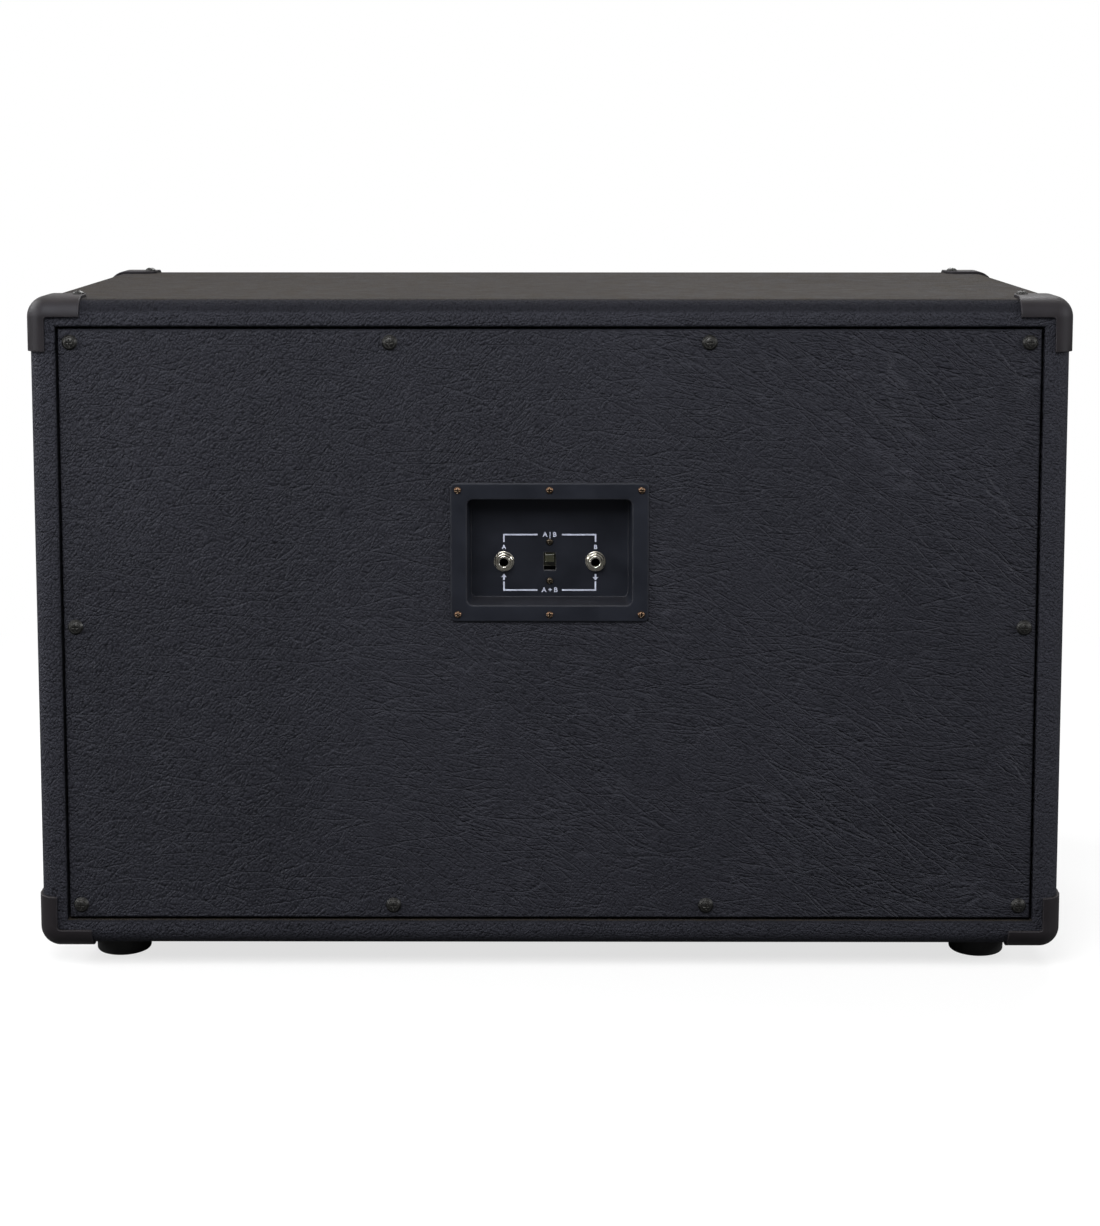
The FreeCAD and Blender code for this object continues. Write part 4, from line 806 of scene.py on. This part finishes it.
grilleCloth = {
    "inset": 0.0004,
    "edgeRound": 0.004,
    "turnIn": 0.0117,
    "stepsAcross": 60,
    "stepsUp": 40,
    "stepsRound": 6,
    "weld": 0.00002,
    "weave": {"name": "grilleWeave", "warp": (0.011, 0.011, 0.012, 1.0), "weft": (0.048, 0.047, 0.046, 1.0),
              "threads": 520.0, "fuzz": 0.35, "rough": 0.85, "bump": 0.9, "sheen": 0.15},
}


def edgePath(half, spec):
    straight = half - spec["edgeRound"]
    points = []
    for step in range(spec["stepsRound"] + 1):
        angle = math.pi / 2 * step / spec["stepsRound"]
        points.append((straight + spec["edgeRound"] * math.sin(angle),
                       spec["edgeRound"] * (1 - math.cos(angle))))
    points.append((half, (spec["edgeRound"] + spec["turnIn"]) / 2))
    points.append((half, spec["turnIn"]))
    return straight, points


def clothLine(half, steps, spec):
    straight, rounded = edgePath(half, spec)
    flat = [(straight * (2 * step / steps - 1), 0.0) for step in range(1, steps)]
    return [(-out, drop) for out, drop in reversed(rounded)] + flat + rounded


def makeGrilleCloth(spec):
    low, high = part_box("grille_cloth")
    middle = (low + high) / 2
    front = low.y + spec["inset"]
    across = clothLine((high.x - low.x) / 2 - spec["inset"], spec["stepsAcross"], spec)
    upward = clothLine((high.z - low.z) / 2 - spec["inset"], spec["stepsUp"], spec)
    mesh = bmesh.new()
    rows = []
    for upOut, upDrop in upward:
        row = []
        for sideOut, sideDrop in across:
            drop = min(max(upDrop, sideDrop), spec["turnIn"])
            row.append(mesh.verts.new((middle.x + sideOut, front + drop, middle.z + upOut)))
        rows.append(row)
    for lower, upper in zip(rows, rows[1:]):
        for left in range(len(lower) - 1):
            mesh.faces.new((lower[left], lower[left + 1], upper[left + 1], upper[left]))
    bmesh.ops.remove_doubles(mesh, verts=mesh.verts, dist=spec["weld"])
    for face in mesh.faces:
        face.smooth = True
    return addPiece("stretchedCloth", mesh, clothMaterial(spec["weave"]))


clothPiece = makeGrilleCloth(grilleCloth)
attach(clothPiece, "cabinet")
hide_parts("grille_cloth")
print("grille cloth stretched")


# surrounds and spiders, each cut into sectors and joined again

softRings = [
    {"kind": "surround", "sectors": 12, "movesWithin": 0.1258, "staysBeyond": 0.1378, "snap": 0.00002},
    {"kind": "spider", "sectors": 12, "movesWithin": 0.0300, "staysBeyond": 0.0718, "snap": 0.00002},
]


def ringSector(source, centre, angle, half, snap):
    mesh = bmesh.new()
    mesh.from_mesh(source)
    for side in (-1, 1):
        edge = angle + side * half
        away = Vector((-math.sin(edge), 0.0, math.cos(edge))) * side
        everything = mesh.verts[:] + mesh.edges[:] + mesh.faces[:]
        bmesh.ops.bisect_plane(mesh, geom=everything, dist=snap, plane_co=centre, plane_no=away,
                               clear_outer=True)
    return addPiece("ringSector", mesh, source.materials[0])


def makeSoftRing(spec, hand):
    node = f"{hand}_{spec['kind']}"
    low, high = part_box(node)
    centre = (low + high) / 2
    half = math.pi / spec["sectors"]
    sectors = []
    for number in range(spec["sectors"]):
        angle = 2 * half * number
        sector = ringSector(cadNodes[node].data, centre, angle, half, spec["snap"])
        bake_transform(sector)
        sectors.append(sector)
    ring = sectors[0]
    with bpy.context.temp_override(active_object=ring, object=ring, selected_editable_objects=sectors):
        bpy.ops.object.join()
    ring.name = f"{hand}Soft{spec['kind'].capitalize()}"
    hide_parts(node)


for ringSpec in softRings:
    for hand in hands:
        makeSoftRing(ringSpec, hand)


# plain printed marks in the jack dish

dishMarks = {
    "lift": 0.00003,
    "thick": 0.00005,
    "lineWidth": 0.0011,
    "floorY": 0.1558,
    "jackX": 0.0336,
    "topZ": 0.3229,
    "topDrop": 0.0054,
    "topGap": 0.0090,
    "lowZ": 0.2817,
    "lowRise": 0.0064,
    "lowGap": 0.0090,
    "letterZ": 0.3136,
    "letterSize": 0.0044,
    "arrowZ": 0.2913,
    "arrow": [(-0.0021, 0.0), (0.0, 0.0024), (0.0021, 0.0), (0.00065, 0.0),
              (0.00065, -0.0022), (-0.00065, -0.0022), (-0.00065, 0.0)],
    "textSize": 0.0049,
    "textWeight": 0.0001,
    "ink": {"name": "markInk", "base": (0.36, 0.38, 0.47, 1.0), "rough": 0.6, "specular": 0.3,
            "stipple": 1800.0, "bump": 0.05, "spread": 0.2, "dust": 0.0},
}


def addBar(mesh, spec, x0, x1, z0, z1):
    near = spec["floorY"] + spec["lift"]
    corners = [(x, y, z) for x in (x0, x1) for y in (near, near + spec["thick"]) for z in (z0, z1)]
    verts = [mesh.verts.new(corner) for corner in corners]
    for face in ((0, 1, 3, 2), (4, 6, 7, 5), (0, 4, 5, 1), (2, 3, 7, 6), (0, 2, 6, 4), (1, 5, 7, 3)):
        mesh.faces.new([verts[number] for number in face])


def addArrow(mesh, spec, x, up):
    near = spec["floorY"] + spec["lift"]
    outline = [(x + out, spec["arrowZ"] + up * rise) for out, rise in spec["arrow"]]
    rings = []
    for y in (near, near + spec["thick"]):
        rings.append([mesh.verts.new((px, y, pz)) for px, pz in outline])
    for ring in rings:
        mesh.faces.new(ring)
    for number in range(len(outline)):
        after = (number + 1) % len(outline)
        mesh.faces.new((rings[0][number], rings[0][after], rings[1][after], rings[1][number]))


def addWord(mesh, spec, text, size, x, z):
    curve = bpy.data.curves.new("markText", "FONT")
    curve.body = text
    curve.size = size
    curve.align_x = "CENTER"
    curve.align_y = "CENTER"
    curve.extrude = spec["thick"] / 2
    curve.offset = spec["textWeight"]
    holder = bpy.data.objects.new("markText", curve)
    scene.collection.objects.link(holder)
    bpy.context.view_layer.update()
    data = bpy.data.meshes.new_from_object(holder.evaluated_get(bpy.context.evaluated_depsgraph_get()))
    facing = Matrix(((-1, 0, 0, x), (0, 0, 1, spec["floorY"] + spec["lift"] + spec["thick"] / 2),
                     (0, 1, 0, z), (0, 0, 0, 1)))
    data.transform(facing)
    mesh.from_mesh(data)
    bpy.data.objects.remove(holder)
    bpy.data.curves.remove(curve)
    bpy.data.meshes.remove(data)


def makeMarks(spec):
    mesh = bmesh.new()
    half = spec["lineWidth"] / 2
    for side in (-1, 1):
        outer = side * spec["jackX"]
        for level, turn, gap, reach in ((spec["topZ"], -1, spec["topGap"], spec["topDrop"]),
                                        (spec["lowZ"], 1, spec["lowGap"], spec["lowRise"])):
            first, last = sorted((side * gap, outer + side * half))
            addBar(mesh, spec, first, last, level - half, level + half)
            base, tip = sorted((level + turn * half, level + turn * reach))
            addBar(mesh, spec, outer - half, outer + half, base, tip)
    addArrow(mesh, spec, spec["jackX"], 1)
    addArrow(mesh, spec, -spec["jackX"], -1)
    addWord(mesh, spec, "A", spec["letterSize"], spec["jackX"], spec["letterZ"])
    addWord(mesh, spec, "B", spec["letterSize"], -spec["jackX"], spec["letterZ"])
    addWord(mesh, spec, "A | B", spec["textSize"], 0.0, spec["topZ"])
    addWord(mesh, spec, "A + B", spec["textSize"], 0.0, spec["lowZ"])
    bmesh.ops.recalc_face_normals(mesh, faces=mesh.faces)
    return addPiece("dishMarks", mesh, mattMaterial(spec["ink"]))


marksPiece = makeMarks(dishMarks)
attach(marksPiece, "cabinet")
print("dish marks printed")


# floor and surroundings

stageLook = {
    "floorSize": 14.0,
    "floorColor": (0.62, 0.62, 0.62, 1.0),
    "floorBounce": (0.12, 0.12, 0.12, 1.0),
    "floorRough": 0.8,
    "floorSpecular": 0.1,
    "toneScale": 2.0,
    "toneLeast": 0.985,
    "shadowKept": 0.28,
    "shadowEnds": (0.5, 1.2),
    "ambient": 0.12,
    "skyDark": 0.25,
    "skyEnds": (-0.1, 0.75),
}


def seenRays(tree, path):
    return calc(tree, "ADD", path["Is Camera Ray"], path["Is Transmission Ray"], clamp=True)


def makeFloor(look):
    half = look["floorSize"] / 2
    data = bpy.data.meshes.new("studioFloor")
    corners = [(-half, -half, 0), (half, -half, 0), (half, half, 0), (-half, half, 0)]
    data.from_pydata(corners, [], [(0, 1, 2, 3)])
    floor = bpy.data.objects.new("studioFloor", data)
    scene.collection.objects.link(floor)
    material, tree, shader = startMaterial("studioFloor", {
        "Roughness": look["floorRough"], "Specular IOR Level": look["floorSpecular"]})
    path = tree.nodes.new("ShaderNodeLightPath").outputs
    spot = objectPlace(tree)
    tone = noise(tree, spot, look["toneScale"], detail=3.0)
    tone = remap(tree, tone, *toneEnds, look["toneLeast"], 1.0)
    ground = mixColors(tree, path["Is Camera Ray"], look["floorBounce"], look["floorColor"])
    link(tree, mixColors(tree, 1.0, ground, tone, "MULTIPLY"), shader.inputs["Base Color"])
    away = vectorCalc(tree, "LENGTH", spot)
    white = remap(tree, away, *look["shadowEnds"], 1.0 - look["shadowKept"], 1.0)
    glow = tree.nodes.new("ShaderNodeEmission")
    blend = tree.nodes.new("ShaderNodeMixShader")
    link(tree, calc(tree, "MULTIPLY", seenRays(tree, path), white), blend.inputs[0])
    link(tree, shader.outputs[0], blend.inputs[1])
    link(tree, glow.outputs[0], blend.inputs[2])
    link(tree, blend.outputs[0], tree.nodes["Material Output"].inputs["Surface"])
    data.materials.append(material)


def makeWorld(look):
    world = bpy.data.worlds.new("studioWorld")
    world.use_nodes = True
    scene.world = world
    tree = world.node_tree
    backdrop = tree.nodes["Background"]
    backdrop.inputs["Color"].default_value = (1.0, 1.0, 1.0, 1.0)
    path = tree.nodes.new("ShaderNodeLightPath").outputs
    light = calc(tree, "MULTIPLY_ADD", seenRays(tree, path), 1.0 - look["ambient"], look["ambient"])
    height = split(tree, tree.nodes.new("ShaderNodeTexCoord").outputs["Generated"])[2]
    sky = remap(tree, height, *look["skyEnds"], look["skyDark"], 1.0)
    mirrored = calc(tree, "MULTIPLY", path["Is Glossy Ray"], calc(tree, "SUBTRACT", sky, look["ambient"]))
    link(tree, calc(tree, "ADD", light, mirrored), backdrop.inputs["Strength"])


makeFloor(stageLook)
makeWorld(stageLook)


# lamps

lamps = [
    {"name": "keyLamp", "at": (0.40, 1.45, 1.60), "aim": (0.0, 0.17, 0.38),
     "size": (1.2, 1.1), "watts": 57.0},
    {"name": "leftLamp", "at": (1.9, 0.72, 0.9), "aim": (0.1, 0.17, 0.25),
     "size": (0.6, 0.8), "watts": 34.0},
    {"name": "rightLamp", "at": (-2.1, 0.8, 1.0), "aim": (0.0, 0.0, 0.25),
     "size": (0.8, 0.8), "watts": 44.0},
    {"name": "farSideLamp", "at": (2.3, -0.7, 1.7), "aim": (0.0, 0.0, 0.25),
     "size": (1.4, 1.2), "watts": 62.0},
    {"name": "frontLamp", "at": (-0.4, -1.5, 2.4), "aim": (0.0, -0.2, 0.25),
     "size": (1.6, 0.8), "watts": 76.0},
]


def makeLamp(spec):
    data = bpy.data.lights.new(spec["name"], "AREA")
    data.shape = "RECTANGLE"
    data.size, data.size_y = spec["size"]
    data.energy = spec["watts"]
    lamp = bpy.data.objects.new(spec["name"], data)
    lamp.location = spec["at"]
    look = Vector(spec["aim"]) - Vector(spec["at"])
    lamp.rotation_euler = look.to_track_quat("-Z", "Y").to_euler()
    lamp.visible_camera = False
    scene.collection.objects.link(lamp)


for lampSpec in lamps:
    makeLamp(lampSpec)


# camera, placed as for the photograph

photoCamera = {
    "at": (-0.0058, 1.839, 0.611),
    "tilt": 6.06,
    "turn": 180.19,
    "sensor": 36.0,
    "lens": 68.27,
    "shiftUp": -0.185,
}


def makeCamera(spec):
    data = bpy.data.cameras.new("photoCamera")
    data.sensor_width = spec["sensor"]
    data.lens = spec["lens"]
    data.shift_y = spec["shiftUp"]
    camera = bpy.data.objects.new("photoCamera", data)
    camera.location = spec["at"]
    camera.rotation_euler = (math.radians(90 - spec["tilt"]), 0.0, math.radians(spec["turn"]))
    scene.collection.objects.link(camera)
    scene.camera = camera


makeCamera(photoCamera)
scene.view_settings.view_transform = "Standard"
print("stage, lamps and camera set")

bpy.context.view_layer.update()
